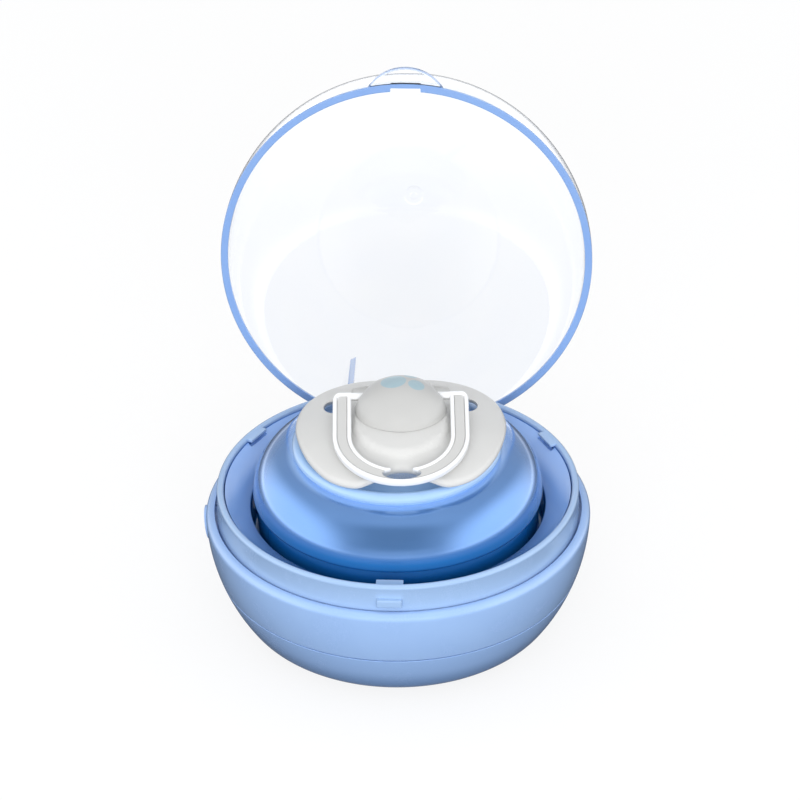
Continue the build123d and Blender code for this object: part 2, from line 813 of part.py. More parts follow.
def make_switch_nib():
    face = -switch_face_x
    return rod_along_x(nib_radius, face - nib_out, face + nib_in, 0, button_z)


def make_power_button():
    """Round button that stands a little proud of the shell and follows its curve."""
    cap = rod_along_x(button_radius, -ball_radius - 5, -button_flange_x[1], 0, button_z)
    cap &= Pos(0, 0, ball_centre_z) * Sphere(ball_radius + button_proud)
    flange = rod_along_x(button_flange_r, -button_flange_x[0], -button_flange_x[1], 0, button_z)
    stem_end = -(switch_face_x + nib_out + touch_gap)
    return cap + flange + rod_along_x(button_stem_r, -button_flange_x[1], stem_end, 0, button_z)


def make_charge_board():
    half = charge_board_half - fit_gap
    board = block(charge_board_x, (-half, half), (charge_board_z, charge_board_top))
    x, y = charge_screw
    hole = rod(small_hole, charge_board_z - 1, charge_board_top + 1, x)
    return board - [Pos(0, side * y, 0) * hole for side in (-1, 1)]


def make_usb_socket():
    """Metal shell with its mouth outward and a tongue inside."""
    back = port_mouth_x - port_length
    floor = back + port_back
    shell = stadium_along_x(port_width, port_height, back, port_mouth_x)
    inner_width = port_width - 2 * port_shell
    inner_height = port_height - 2 * port_shell
    shell -= stadium_along_x(inner_width, inner_height, floor, port_mouth_x + 1)
    half_width = port_tongue[0] / 2
    half_height = port_tongue[1] / 2
    x = (floor - 0.2, port_mouth_x - port_tongue_set_in)
    z = (port_z - half_height, port_z + half_height)
    return shell + block(x, (-half_width, half_width), z)


def make_interlock_switch():
    """Switch body under the collar's slot, with the plunger's bore."""
    body = block(lock_radial, (-lock_half, lock_half), lock_z)
    floor = lock_z[0] + lock_floor
    body -= rod(plunger_radius + running_gap, floor, lock_z[1] + 1, plunger_circle)
    return Rot(0, 0, lock_direction()) * body


def make_interlock_plunger():
    bottom = plunger_top_z - plunger_length
    plunger = rod(plunger_radius, bottom, plunger_top_z, plunger_circle)
    return Rot(0, 0, lock_direction()) * plunger


# ---- Lid ----------------------------------------------------------------------------------------
def make_hinge_pin():
    return rod_along_x(pin_radius, -pin_half, pin_half, hinge_y, hinge_z)


def make_ear(side):
    """One hinge ear, round at the pin and straight up into the lid's rim."""
    x = sorted(side * value for value in ear_x)
    ear = rod_along_x(knuckle_radius, x[0], x[1], hinge_y, hinge_z)
    ear += block(x, (collar_outer + ear_gap, lid_outer), (hinge_z, lid_rim_z + ear_height))
    ear &= Pos(0, 0, lid_rim_z) * Sphere(lid_outer)
    return ear - rod_along_x(pin_radius + running_gap, x[0] - 1, x[1] + 1, hinge_y, hinge_z)


def make_rib():
    """Thin upright rib inside the lid that fades into the wall and works the interlock."""
    middle_of_lid = (0, lid_centre_z)
    reach = math.sqrt((lid_outer - lid_wall / 2) ** 2 - rib_x**2)
    foot = (rib_foot_y, lid_rim_z)
    top = on_circle(middle_of_lid, reach, rib_top_angle)
    middle = on_circle(middle_of_lid, reach, rib_top_angle / 2)
    outer = on_circle(middle_of_lid, reach, 0)
    corners = [(rib_x - rib_wall / 2, y, z) for y, z in (foot, top, middle, outer)]
    outline = [
        Line(corners[0], corners[1]),
        ThreePointArc(corners[1], corners[2], corners[3]),
        Polyline(corners[3], (corners[3][0], outer[0], lid_rim_z), corners[0]),
    ]
    return extrude(make_face(outline), rib_wall, dir=(1, 0, 0))


def make_lid_dome():
    """Clear half ball, built closed, then swung open about the hinge pin."""
    inside = half_ball(lid_inner, lid_rim_z - 1, lid_centre_z)
    finger_y = finger_radius - finger_reach - lid_outer
    finger = rod(finger_radius, lid_rim_z, lid_rim_z + finger_thick, 0, finger_y)
    lid = half_ball(lid_outer, lid_rim_z, lid_centre_z) + finger - inside
    pole = lid_centre_z + lid_inner
    nub_end = pole - nub_height
    lid += rod(nub_radius, nub_end, pole + lid_wall / 2)
    lid -= rod(nub_dimple_r, nub_end - 1, nub_end + nub_dimple)
    notch = block(
        (-notch_width / 2, notch_width / 2), (-lid_inner - notch_depth, 2 - lid_inner),
        (lid_rim_z - 1, lid_rim_z + notch_height),
    )
    lid -= notch
    lid += make_rib()
    for side in (-1, 1):
        lid += make_ear(side)
    return lid.rotate(Axis((0, hinge_y, hinge_z), (1, 0, 0)), -open_angle)


# ---- Pacifier -----------------------------------------------------------------------------------
def laid(shape):
    """Put a piece of the pacifier where it lies on the holder."""
    return Pos(pacifier_x, 0, 0) * Rot(0, 0, pacifier_turn) * shape


def shield_ball_at(offset):
    """The shield's ball, its poles on Y so that neither they nor its seam fall on the shield."""
    return Pos(*shield_centre) * Rot(90, 0, 0) * Sphere(shield_ball + offset)


def make_shield_outline():
    """Butterfly outline seen from above, from the front notch round each wing to the back."""
    edges = []
    for side in (-1, 1):
        front = [(side * x, y) for x, y in shield_front]
        back = [(side * x, y) for x, y in shield_back]
        edges.append(Spline(*front, tangents=((side, 0), (0, 1))))
        edges.append(Spline(*back, tangents=((0, 1), (-side, 0))))
    return make_face(edges)


def make_shield():
    """Curved butterfly shield with two vents, a raised middle and the teat's seat."""
    low, high = shield_z
    prism = Pos(0, 0, low) * extrude(make_shield_outline(), high - low)
    shell = (shield_ball_at(0) - shield_ball_at(-shield_thick)) & prism
    plateau = Pos(0, plateau_y, low) * extrude(Ellipse(*plateau_half), high - low)
    plateau &= shield_ball_at(plateau_rise) - shield_ball_at(-shield_thick / 2)
    boss = rod(shield_boss_r, shield_boss_z, high) & shield_ball_at(-0.3)
    shield = shell + plateau + boss
    shield -= rod(teat_neck_r + touch_gap, low, high)
    shield -= rod(teat_flange_r + fit_gap, teat_seat_z, high)
    for side in (-1, 1):
        vent = rod(vent_radius, low, high, side * vent_x, vent_y)
        x = sorted((side * (vent_x - vent_flat), side * (vent_x + vent_radius)))
        shield -= vent & block(x, (vent_y - vent_radius, vent_y + vent_radius), shield_z)
    return shield


def teat_profile(inset, top):
    """The teat's outside, or with an inset its inside, up to a height."""
    neck = teat_neck_r - inset
    low = (neck, teat_straight_z)
    waist = (teat_waist[0] - inset, teat_waist[1])
    bulb = (teat_bulb[0] - inset, teat_bulb[1])
    tip = (0, teat_tip_z + inset)
    points = [(r, 0, z) for r, z in (low, waist, bulb, tip)]
    wall = Spline(*points, tangents=((0, 0, -1), (-1, 0, 0)))
    return turned_edges(line((0, top), (neck, top)), line((neck, top), low), wall, line(tip, (0, top)))


def make_teat():
    """Hollow soft teat: seat flange, neck and bulb."""
    flange_top = teat_seat_z + teat_flange_thick
    teat = teat_profile(0, teat_seat_z) + rod(teat_flange_r, teat_seat_z, flange_top)
    return teat - teat_profile(teat_wall, flange_top + 1)


def make_plug():
    """Inner plug that holds the teat's flange in the shield."""
    bottom = teat_seat_z + teat_flange_thick
    plug = rod(teat_flange_r - plug_gap, bottom, bottom + plug_flange_thick)
    return plug + rod(teat_neck_r - teat_wall - plug_gap, plug_stem_z, bottom)


def make_knob():
    """Domed button over the plug, hollowed and bored on each side for the ring's pins."""
    knob = make_ellipsoid(knob_centre, knob_half)
    knob -= shield_ball_at(plateau_rise + touch_gap)
    scoop_x, scoop_y, scoop_z = scoop_centre
    for side in (-1, 1):
        knob -= make_ellipsoid((side * scoop_x, scoop_y, scoop_z), scoop_half)
        x = sorted((side * knob_bore_x, side * (knob_half[0] + 1)))
        knob -= rod_along_x(ring_pin_r + ring_pin_gap, x[0], x[1], ring_pivot_y, ring_pivot_z)
    return knob


def make_ellipsoid(centre, half):
    """A ball stretched to three half sizes."""
    return Pos(*centre) * scale(Sphere(1), by=half)


def make_ring():
    """Flat U shaped ring with a grip window and two inward pins, lying forward and down."""
    inner = ring_outer - ring_band
    half = ring_thick / 2
    front_half = Pos(0, -ring_outer / 2) * Rectangle(2 * ring_outer, ring_outer)
    end = Pos(0, ring_bend_y) * ((Circle(ring_outer) - Circle(inner)) & front_half)
    arm_length = -ring_bend_y
    arms = [
        Pos(side * (inner + ring_band / 2), ring_bend_y / 2) * Rectangle(ring_band, arm_length)
        for side in (-1, 1)
    ]
    grip_y = ring_bend_y - ring_outer + grip_bar + grip_half[1]
    flat = end + arms - Pos(0, grip_y) * Ellipse(*grip_half)
    ring = extrude(flat, half, both=True)
    for side in (-1, 1):
        x = sorted((side * inner, side * ring_outer))
        ring += rod_along_x(half, x[0], x[1], 0, 0)
        pin = sorted((side * ring_pin_inner, side * (inner + 1)))
        ring += rod_along_x(ring_pin_r, pin[0], pin[1], 0, 0)
    return Pos(0, ring_pivot_y, ring_pivot_z) * Rot(ring_rest_angle, 0, 0) * ring


# ---- Write every sub-part -----------------------------------------------------------------------
def build():
    os.makedirs("parts", exist_ok=True)
    write("foot_pad", make_foot_pad())
    write("bottom_cover", make_bottom_cover())
    write("base_shell", make_base_shell())
    write("cover_screws", make_cover_screws())
    write("collar_ring", make_collar_ring())
    write("liner_bowl", make_liner_bowl())
    write("holder_dome", make_holder_dome())
    write("uv_window", make_window())
    write("window_gasket", make_window_gasket())
    write("uv_lamps", make_lamps())
    write("lamp_board", make_lamp_board())
    write("heat_spreader", make_heat_spreader())
    write("lamp_leads", make_lamp_leads())
    write("main_board", make_main_board())
    write("main_chip", make_main_chip())
    write("board_screws", make_board_screws())
    write("battery_cell", make_battery_cell())
    write("battery_pad", make_battery_pad())
    write("battery_leads", make_battery_leads())
    write("switch_board", make_switch_board())
    write("button_switch", make_button_switch())
    write("switch_nib", make_switch_nib())
    write("switch_leads", make_switch_leads())
    write("power_button", make_power_button())
    write("charge_board", make_charge_board())
    write("usb_socket", make_usb_socket())
    write("charge_leads", make_charge_leads())
    write("interlock_switch", make_interlock_switch())
    write("interlock_plunger", make_interlock_plunger())
    write("interlock_leads", make_lock_leads())
    write("hinge_pin", make_hinge_pin())
    write("lid_dome", make_lid_dome())
    write("pacifier_shield", laid(make_shield()))
    write("pacifier_teat", laid(make_teat()))
    write("pacifier_plug", laid(make_plug()))
    write("pacifier_knob", laid(make_knob()))
    write("pacifier_ring", laid(make_ring()))


build()
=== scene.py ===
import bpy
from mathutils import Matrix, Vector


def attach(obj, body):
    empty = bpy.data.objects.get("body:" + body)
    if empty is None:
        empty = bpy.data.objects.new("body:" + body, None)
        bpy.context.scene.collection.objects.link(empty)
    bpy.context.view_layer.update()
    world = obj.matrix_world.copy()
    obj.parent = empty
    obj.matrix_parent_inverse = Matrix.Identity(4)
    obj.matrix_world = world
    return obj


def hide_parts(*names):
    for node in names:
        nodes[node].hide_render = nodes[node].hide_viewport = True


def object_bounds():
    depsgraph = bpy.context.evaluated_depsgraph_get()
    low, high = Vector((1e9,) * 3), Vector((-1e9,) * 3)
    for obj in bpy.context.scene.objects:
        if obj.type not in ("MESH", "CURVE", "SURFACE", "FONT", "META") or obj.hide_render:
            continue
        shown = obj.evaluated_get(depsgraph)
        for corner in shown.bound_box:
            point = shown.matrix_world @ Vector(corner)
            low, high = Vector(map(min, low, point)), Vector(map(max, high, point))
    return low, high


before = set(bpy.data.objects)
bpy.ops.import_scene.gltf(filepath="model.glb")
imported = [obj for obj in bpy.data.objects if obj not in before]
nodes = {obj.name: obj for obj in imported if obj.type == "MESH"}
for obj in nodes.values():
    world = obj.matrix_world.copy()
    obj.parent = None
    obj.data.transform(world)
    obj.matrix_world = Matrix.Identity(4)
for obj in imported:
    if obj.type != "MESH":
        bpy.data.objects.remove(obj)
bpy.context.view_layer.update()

# %% [markdown]
# A pocket case that cleans one pacifier with ultraviolet light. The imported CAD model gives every
# piece its place and its motion, and this script gives the pieces their looks. Everything is in
# metres in the CAD's own frame: the case stands on z = 0, its front with the latch faces -Y, and
# the hinge is at +Y. Most of the case is round, so most pieces are turned from an outline.

# %% The tools that every later cell uses
import math

import bmesh
import bpy
from mathutils import Matrix, Vector

MM = 0.001
low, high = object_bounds()
print("the CAD model measures", [round((b - a) / MM, 1) for a, b in zip(low, high)], "mm")

# %% [markdown]
# Shader maths reads best as ordinary sums. A Wire is one socket of a node, and adding or
# multiplying two wires adds a Math node for it. A Bench holds the nodes of one material or tree.
# Its method node makes any node: settings first, then values or wires for its sockets. The other
# methods are short names for the nodes that nearly every finish needs.


# %% Wires and benches
def sign(operation):
    """The method for one sign of a sum, and its twin for when a plain number comes first."""

    def forward(self, other):
        return self.bench.maths(operation, self, other)

    def reflected(self, other):
        return self.bench.maths(operation, other, self)

    return forward, reflected


class Wire:
    """A node's output that takes part in Python sums."""

    __add__, __radd__ = sign("ADD")
    __sub__, __rsub__ = sign("SUBTRACT")
    __mul__, __rmul__ = sign("MULTIPLY")
    __truediv__, __rtruediv__ = sign("DIVIDE")

    def __init__(self, bench, socket):
        self.bench, self.socket = bench, socket


class Bench:
    """The nodes of a new material, or of a tree that is already there."""

    def __init__(self, name, tree=None):
        if tree is None:
            self.material = bpy.data.materials.new(name)
            self.material.use_nodes = True
            tree = self.material.node_tree
        tree.nodes.clear()
        self.tree = tree

    def node(self, kind, settings=None, sockets=None, out=0):
        made = self.tree.nodes.new(kind)
        for key, value in (settings or {}).items():
            setattr(made, key, value)
        for key, value in (sockets or {}).items():
            if isinstance(value, Wire):
                self.tree.links.new(value.socket, made.inputs[key])
            else:
                made.inputs[key].default_value = value
        return Wire(self, made.outputs[out]) if made.outputs else None

    def outputs(self, kind, names, sockets=None):
        """Several outputs of one new node, as wires."""
        made = self.node(kind, {}, sockets).socket.node
        return [Wire(self, made.outputs[name]) for name in names]

    def maths(self, operation, *values):
        return self.node("ShaderNodeMath", {"operation": operation}, dict(enumerate(values)))

    def vector(self, operation, first, second, out=0):
        return self.node(
            "ShaderNodeVectorMath", {"operation": operation}, {0: first, 1: second}, out
        )

    def split(self, vector):
        """The x, y and z of a vector, as three wires."""
        return self.outputs("ShaderNodeSeparateXYZ", "XYZ", {0: vector})

    def place(self):
        return self.node("ShaderNodeTexCoord", out="Object")

    def noise(self, scale, detail=2.0, at=None):
        sockets = {"Vector": at or self.place(), "Scale": scale, "Detail": detail}
        return self.node("ShaderNodeTexNoise", {}, sockets)

    def smooth(self, value, start, end):
        """0 below start and 1 above end, with an S curve between."""
        sockets = {"Value": value, "From Min": start, "From Max": end}
        return self.node("ShaderNodeMapRange", {"interpolation_type": "SMOOTHSTEP"}, sockets)

    def distance(self, point):
        """How far each place is from one point, in metres."""
        return self.vector("DISTANCE", self.place(), point, "Value")

    def tint(self, share, first, second):
        """First colour where share is 0, second where it is 1."""
        return self.node(
            "ShaderNodeMix", {"data_type": "RGBA"}, {0: share, 6: first, 7: second}, out=2
        )

    def bump(self, height, strength, distance):
        sockets = {"Height": height, "Strength": strength, "Distance": distance}
        return self.node("ShaderNodeBump", {}, sockets)

    def drift(self):
        """The slow change of shade, over about 8 mm, where a moulded wall is thick."""
        return self.smooth(self.noise(120, 2), 0.3, 0.7)

    def peel(self, strength=0.12):
        """The faint orange peel of a moulded skin, about 1.5 mm from dent to dent."""
        return self.bump(self.noise(650, 1), strength, 0.00002)

    def principled(self, sockets):
        return self.node("ShaderNodeBsdfPrincipled", {}, sockets)

    def finish(self, sockets):
        return self.output(self.principled(sockets))

    def output(self, shader):
        self.node("ShaderNodeOutputMaterial", {}, {"Surface": shader})
        return self.material


def colour(red, green, blue, alpha=1.0):
    """An sRGB colour as on a colour chart, 0 to 255, as the linear values that shaders use."""
    parts = [c / 255 for c in (red, green, blue)]
    line = [c / 12.92 if c <= 0.04045 else ((c + 0.055) / 1.055) ** 2.4 for c in parts]
    return (*line, alpha)


# %% [markdown]
# The case and the pacifier are moulded plastic. Up close such plastic isn't flat: its skin has a
# faint orange peel, a very fine grain from the mould, and the colour drifts a little where the
# wall is thick. The finish mixes those three from noise textures at their real sizes, 8 mm for
# the drift, 1.5 mm for the peel and 0.15 mm for the grain.


# %% Moulded plastic
def moulded(name, main, deep, rough=0.3, coat=0.0):
    bench = Bench(name)
    drift = bench.drift()
    grain = bench.noise(6500, 1)
    skin = bench.noise(650, 1)
    sockets = {
        "Base Color": bench.tint(drift * 0.35, main, deep),
        "Roughness": rough + (grain - 0.5) * 0.08 + (drift - 0.5) * 0.05,
        "Normal": bench.bump(skin + grain * 0.12, 0.12, 0.00002),
        "IOR": 1.5,
    }
    if coat:
        sockets["Coat Weight"] = coat
        sockets["Coat Roughness"] = 0.08
    return bench.finish(sockets)


shell_blue = moulded("shell_blue", colour(160, 193, 239), colour(153, 186, 235), 0.25, 0.5)
pacifier_white = moulded("pacifier_white", colour(214, 214, 212), colour(209, 209, 207), 0.34, 0.1)
print("made", len(bpy.data.materials), "plastic finishes")

# %% [markdown]
# The collar, the liner and the cover carry painted shade. The collar's inner wall is painted as
# deep as the liner, and the liner is painted deeper down in the trough than on its open shelf,
# both as shade inside the cup. The lower cover is painted a shade deeper near the foot, as shade
# near the floor. All three read the height and the distance from the middle line.


# %% Collar, liner and cover plastic, with painted shade
def two_blues(name, share_of, first, second, rough, coat):
    """First colour where share_of(bench, radius, height) is 0, second where it is 1."""
    bench = Bench(name)
    x, y, height = bench.split(bench.place())
    radius = bench.maths("SQRT", x * x + y * y)
    drift = bench.drift()
    sockets = {
        "Base Color": bench.tint(share_of(bench, radius, height), first, second),
        "Roughness": rough + (bench.noise(6500, 1) - 0.5) * 0.08 + (drift - 0.5) * 0.05,
        "Normal": bench.peel(),
        "Coat Weight": coat,
        "Coat Roughness": 0.08,
    }
    return bench.finish(sockets)


# painted shade: the collar's inner wall below its tabs is painted the deep blue of the liner, as
# shade inside the cup
def painted_collar_shade(bench, radius, height):
    return (1 - bench.smooth(radius, 0.0398, 0.0401)) * (1 - bench.smooth(height, 0.0330, 0.0334))


# painted shade: 0 down in the trough, which is painted deep blue as shade in the recess, and 1 on
# the open shelf, which keeps the pale blue
def above_trough_shade(bench, radius, height):
    return bench.smooth(height, 0.0282, 0.0292)


# painted shade: the cover is painted darker towards the foot, as shade near the floor
def painted_foot_shade(bench, radius, height):
    return 1 - bench.smooth(height, 0.001, 0.010)


# the second colour is the painted shade near the foot
cover_blue = two_blues(
    "cover_blue", painted_foot_shade, colour(154, 188, 236), colour(96, 134, 184), 0.25, 0.5
)
collar_blue = two_blues(
    "collar_blue", painted_collar_shade, colour(160, 190, 228), colour(84, 136, 212), 0.25, 0.5
)
liner_blue = two_blues(
    "liner_blue", above_trough_shade, colour(44, 130, 208), colour(140, 182, 242), 0.2, 0.9
)

# %% [markdown]
# The holder has a finish of its own. Its bell is pearly: a part of the light comes back as from
# brushed metal, so it shows the dark front and the bright sides of the studio. Its skirt is plain
# and painted deep blue, as painted shade. The thin lip at its top is painted the palest part, and
# its front half has a faint painted glow, both standing for light that soaks through the thin lip.


# %% The holder's pearly finish
def pearly_bell():
    bench = Bench("holder_blue")
    _, y, height = bench.split(bench.place())
    bell = bench.smooth(height, 0.0335, 0.0368)
    lip = bench.smooth(height, 0.0428, 0.0434)
    drift = bench.drift()
    main = bench.tint(drift * 0.35, colour(104, 152, 214), colour(96, 145, 209))
    # painted shade: the skirt below the bell is painted deep blue, as shade between the holder and
    # the liner
    shaded_skirt = bench.tint(bell, colour(22, 100, 164), main)
    # painted glow: the lip's front half glows a little, as light through the thin lip; the back
    # half, shaded by the plate, gets none
    front_lip_glow = lip * (1 - bench.smooth(y, -0.008, 0.002))
    glow = bench.tint(front_lip_glow, (0, 0, 0, 1), (0.035, 0.075, 0.13, 1))
    sockets = {
        "Base Color": bench.tint(lip, shaded_skirt, colour(166, 197, 236)),
        "Metallic": bell * 0.6 * (1 - lip),
        "Roughness": 0.16 + bench.noise(6500, 1) * 0.04,
        "Normal": bench.peel(0.05),
        "Coat Weight": 1 - lip * 0.5,
        "Coat Roughness": 0.08,
        "Emission Color": glow,
        "Emission Strength": 1.0,
    }
    return bench.finish(sockets)


holder_blue = pearly_bell()
print("the cup has", [m.name for m in (collar_blue, liner_blue, holder_blue)])

# %% [markdown]
# The lid is clear plastic with a breath of blue. Light that runs along inside its wall comes out
# at the rim, so the rim of a clear lid always looks deeper than its dome. The dome is a clear
# shader. The rim band, measured from the plane where the lid meets the case, blends into an opaque
# blue that paints that edge light, and so do the thin edge of the finger tab and the rib inside
# the dome. The masks read Object coordinates and measure from the lid's own plane, axis and ball.

# %% The lid's clear plastic
HINGE_Y, HINGE_Z, OPEN = 40.2, 24.0, -98
LID, LID_INSIDE, LID_MIDDLE, RIM = 43.8, 42.1, 29.8, 28.5
TAB, TAB_Y = 10.2, -37.6
RIB_X, RIB_HALF = -14.0, 0.65
hinge = Vector((0, HINGE_Y, HINGE_Z)) * MM
turn = Matrix.Rotation(math.radians(OPEN), 4, "X")
swing = Matrix.Translation(hinge) @ turn @ Matrix.Translation(-hinge)
rim_point = swing @ (Vector((0, 0, RIM)) * MM)
rim_up = swing.to_3x3() @ Vector((0, 0, 1))
tab_point = swing @ (Vector((0, TAB_Y, 29.2)) * MM)
dome_point = swing @ (Vector((0, 0, LID_MIDDLE)) * MM)


def clear_lid():
    bench = Bench("lid_clear")
    offset = bench.vector("SUBTRACT", bench.place(), rim_point)
    depth = bench.vector("DOT_PRODUCT", offset, rim_up, "Value")
    length = bench.distance(rim_point)
    radius = bench.maths("SQRT", length * length - depth * depth)
    beyond = bench.smooth(radius, 0.0439, 0.0441)
    rim = (1 - bench.smooth(depth, 0.0003, 0.0011)) * (1 - beyond)
    tab_edge = bench.smooth(bench.distance(tab_point), 0.0098, 0.0101) * beyond
    beside = bench.maths("ABSOLUTE", bench.split(bench.place())[0] - RIB_X * MM)
    in_rib = 1 - bench.smooth(beside, 0.00066, 0.00074)
    rib = in_rib * (1 - bench.smooth(bench.distance(dome_point), 0.0418, 0.0421))
    # painted light: the rim band, the tab's edge and the rib are painted an opaque blue for the
    # light that the clear wall carries to its edges
    painted_edge_light = rim * 0.85 + tab_edge * 0.45 + rib * 0.55
    drift = bench.noise(90, 1)
    clear = bench.principled({
        "Base Color": bench.tint(drift, (0.93, 0.955, 1, 1), (0.96, 0.975, 1, 1)),
        "Roughness": 0.02 + drift * 0.02,
        "IOR": 1.33,
        "Transmission Weight": 1.0,
    })
    edge_light_blue = bench.principled({
        "Base Color": bench.tint(drift, colour(140, 178, 238), colour(150, 186, 240)),
        "Roughness": 0.2 + drift * 0.05,
    })
    painted_edge_light = bench.maths("MINIMUM", painted_edge_light, 1.0)
    mixed = bench.node("ShaderNodeMixShader", {}, {0: painted_edge_light, 1: clear, 2: edge_light_blue})
    return bench.output(mixed)


lid_clear = clear_lid()
print("the lid's rim plane passes", [round(v / MM, 2) for v in rim_point], "mm")

# %% [markdown]
# The finishes of what sits inside or below: soft rubber with a fine grain, steel with turning
# lines, green boards with faint tracks, foil, black moulded parts and coloured wire. They are
# small or hidden, but the lid opens, the window is clear and every piece can be taken out.


# %% Rubber, metal and boards
def soft_skin(name, main, deep, rough=0.75, grain_size=2500):
    bench = Bench(name)
    grain = bench.noise(grain_size, 3)
    sockets = {
        "Base Color": bench.tint(bench.smooth(bench.noise(200), 0.3, 0.7), main, deep),
        "Roughness": rough + (grain - 0.5) * 0.15,
        "Normal": bench.bump(grain, 0.35, 0.00005),
    }
    return bench.finish(sockets)


def metal(name, main, rough=0.28, stretch=(60, 60, 3000)):
    bench = Bench(name)
    along = bench.node("ShaderNodeMapping", {}, {"Vector": bench.place(), "Scale": stretch})
    lines = bench.noise(1.0, 4, along)
    sockets = {
        "Base Color": bench.tint(lines, main, tuple(0.82 * c for c in main[:3]) + (1,)),
        "Metallic": 1.0,
        "Roughness": rough + (lines - 0.5) * 0.15,
        "Normal": bench.bump(lines, 0.15, 0.00001),
    }
    return bench.finish(sockets)


def board(name):
    bench = Bench(name)
    tracks = bench.node(
        "ShaderNodeTexBrick",
        {"offset": 0.5},
        {"Vector": bench.place(), "Scale": 420.0, "Mortar Size": 0.03, "Mortar Smooth": 0.1},
        out="Fac",
    )
    sockets = {
        "Base Color": bench.tint(tracks, colour(16, 88, 58), colour(34, 122, 82)),
        "Roughness": 0.35 + bench.noise(900) * 0.1,
        "Normal": bench.bump(tracks, 0.2, 0.00003),
    }
    return bench.finish(sockets)


def silicone():
    bench = Bench("teat_silicone")
    drift = bench.noise(150)
    sockets = {
        "Base Color": bench.tint(drift, colour(226, 234, 243), colour(232, 238, 245)),
        "Roughness": 0.22 + bench.noise(3000) * 0.1,
        "Normal": bench.bump(bench.noise(500), 0.08, 0.00003),
        "Transmission Weight": 0.1,
        "IOR": 1.41,
        "Subsurface Weight": 0.3,
        "Subsurface Radius": (1.0, 0.9, 0.8),
        "Subsurface Scale": 0.003,
        # painted glow: a faint blue-white emission lightens the teat, standing for light in the
        # well under the plate
        "Emission Color": bench.tint(drift, (0.10, 0.13, 0.18, 1), (0.11, 0.14, 0.19, 1)),
        "Emission Strength": 1.0,
    }
    return bench.finish(sockets)


def clear_glass():
    bench = Bench("window_glass")
    haze = bench.noise(300)
    sockets = {
        "Base Color": bench.tint(haze, (0.96, 0.98, 1, 1), (1, 1, 1, 1)),
        "Roughness": haze * 0.03,
        "IOR": 1.46,
        "Transmission Weight": 1.0,
    }
    return bench.finish(sockets)


steel = metal("steel", colour(196, 197, 201))
pad_grey = soft_skin("pad_grey", colour(150, 156, 166), colour(140, 147, 158))
finishes = [
    (pad_grey, "foot_pad"),
    (soft_skin("gasket_rubber", colour(44, 44, 47), colour(36, 36, 39)), "window_gasket"),
    (soft_skin("foam_grey", colour(92, 92, 95), colour(78, 78, 81), 0.9, 1500), "battery_pad"),
    (steel, "cover_screws", "board_screws", "hinge_pin"),
    (metal("spreader_metal", colour(212, 213, 216), 0.35), "heat_spreader"),
    (metal("cell_foil", colour(206, 208, 212), 0.4, (300, 300, 300)), "battery_cell"),
    (metal("port_metal", colour(190, 192, 197), 0.25, (3000, 200, 200)), "usb_socket"),
    (board("board_green"), "lamp_board", "main_board", "switch_board", "charge_board"),
    (moulded("lamp_ceramic", colour(240, 238, 222), colour(232, 230, 212), 0.3), "uv_lamps"),
    (clear_glass(), "uv_window"),
    (moulded("chip_black", colour(38, 38, 41), colour(30, 30, 33), 0.5), "main_chip"),
    (moulded("switch_black", colour(46, 46, 50), colour(38, 38, 42), 0.45),
     "switch_nib", "button_switch", "interlock_switch", "interlock_plunger"),
    (soft_skin("lead_red", colour(190, 60, 52), colour(172, 50, 44), 0.5),
     "lamp_leads", "battery_leads", "switch_leads", "charge_leads", "interlock_leads"),
    (silicone(), "pacifier_teat"),
    (pacifier_white, "pacifier_plug"),
]
for finish, *names in finishes:
    for name in names:
        nodes[name].data.materials.clear()
        nodes[name].data.materials.append(finish)
print("gave", sum(len(names) for _, *names in finishes), "CAD nodes their finish")

# %% [markdown]
# Turned pieces. An outline is a list of (radius, height) points in millimetres. A corner that
# has a third number is rounded over that length, because every moulded edge is, and the small
# round catches a line of light. Long curves are arcs, given by a centre or by three points.


# %% Outlines
def arc(centre, radius, start, end, steps=24):
    """Points along a circle in the (radius, height) plane, angles in degrees from level."""
    turns = [math.radians(start + (end - start) * i / steps) for i in range(steps + 1)]
    return [(centre[0] + radius * math.cos(t), centre[1] + radius * math.sin(t)) for t in turns]


def arc_through(first, middle, last, steps=10):
    """Points along the circle through three points."""
    (ax, ay), (bx, by), (cx, cy) = first, middle, last
    d = 2 * (ax * (by - cy) + bx * (cy - ay) + cx * (ay - by))
    a2, b2, c2 = ax**2 + ay**2, bx**2 + by**2, cx**2 + cy**2
    x = (a2 * (by - cy) + b2 * (cy - ay) + c2 * (ay - by)) / d
    y = (a2 * (cx - bx) + b2 * (ax - cx) + c2 * (bx - ax)) / d
    angle = [math.degrees(math.atan2(p[1] - y, p[0] - x)) for p in (first, middle, last)]
    while angle[1] - angle[0] > 180:
        angle[1] -= 360
    while angle[0] - angle[1] > 180:
        angle[1] += 360
    while (angle[2] - angle[1]) * (angle[1] - angle[0]) < 0:
        angle[2] += math.copysign(360, angle[1] - angle[0])
    return arc((x, y), math.hypot(ax - x, ay - y), angle[0], angle[2], steps)


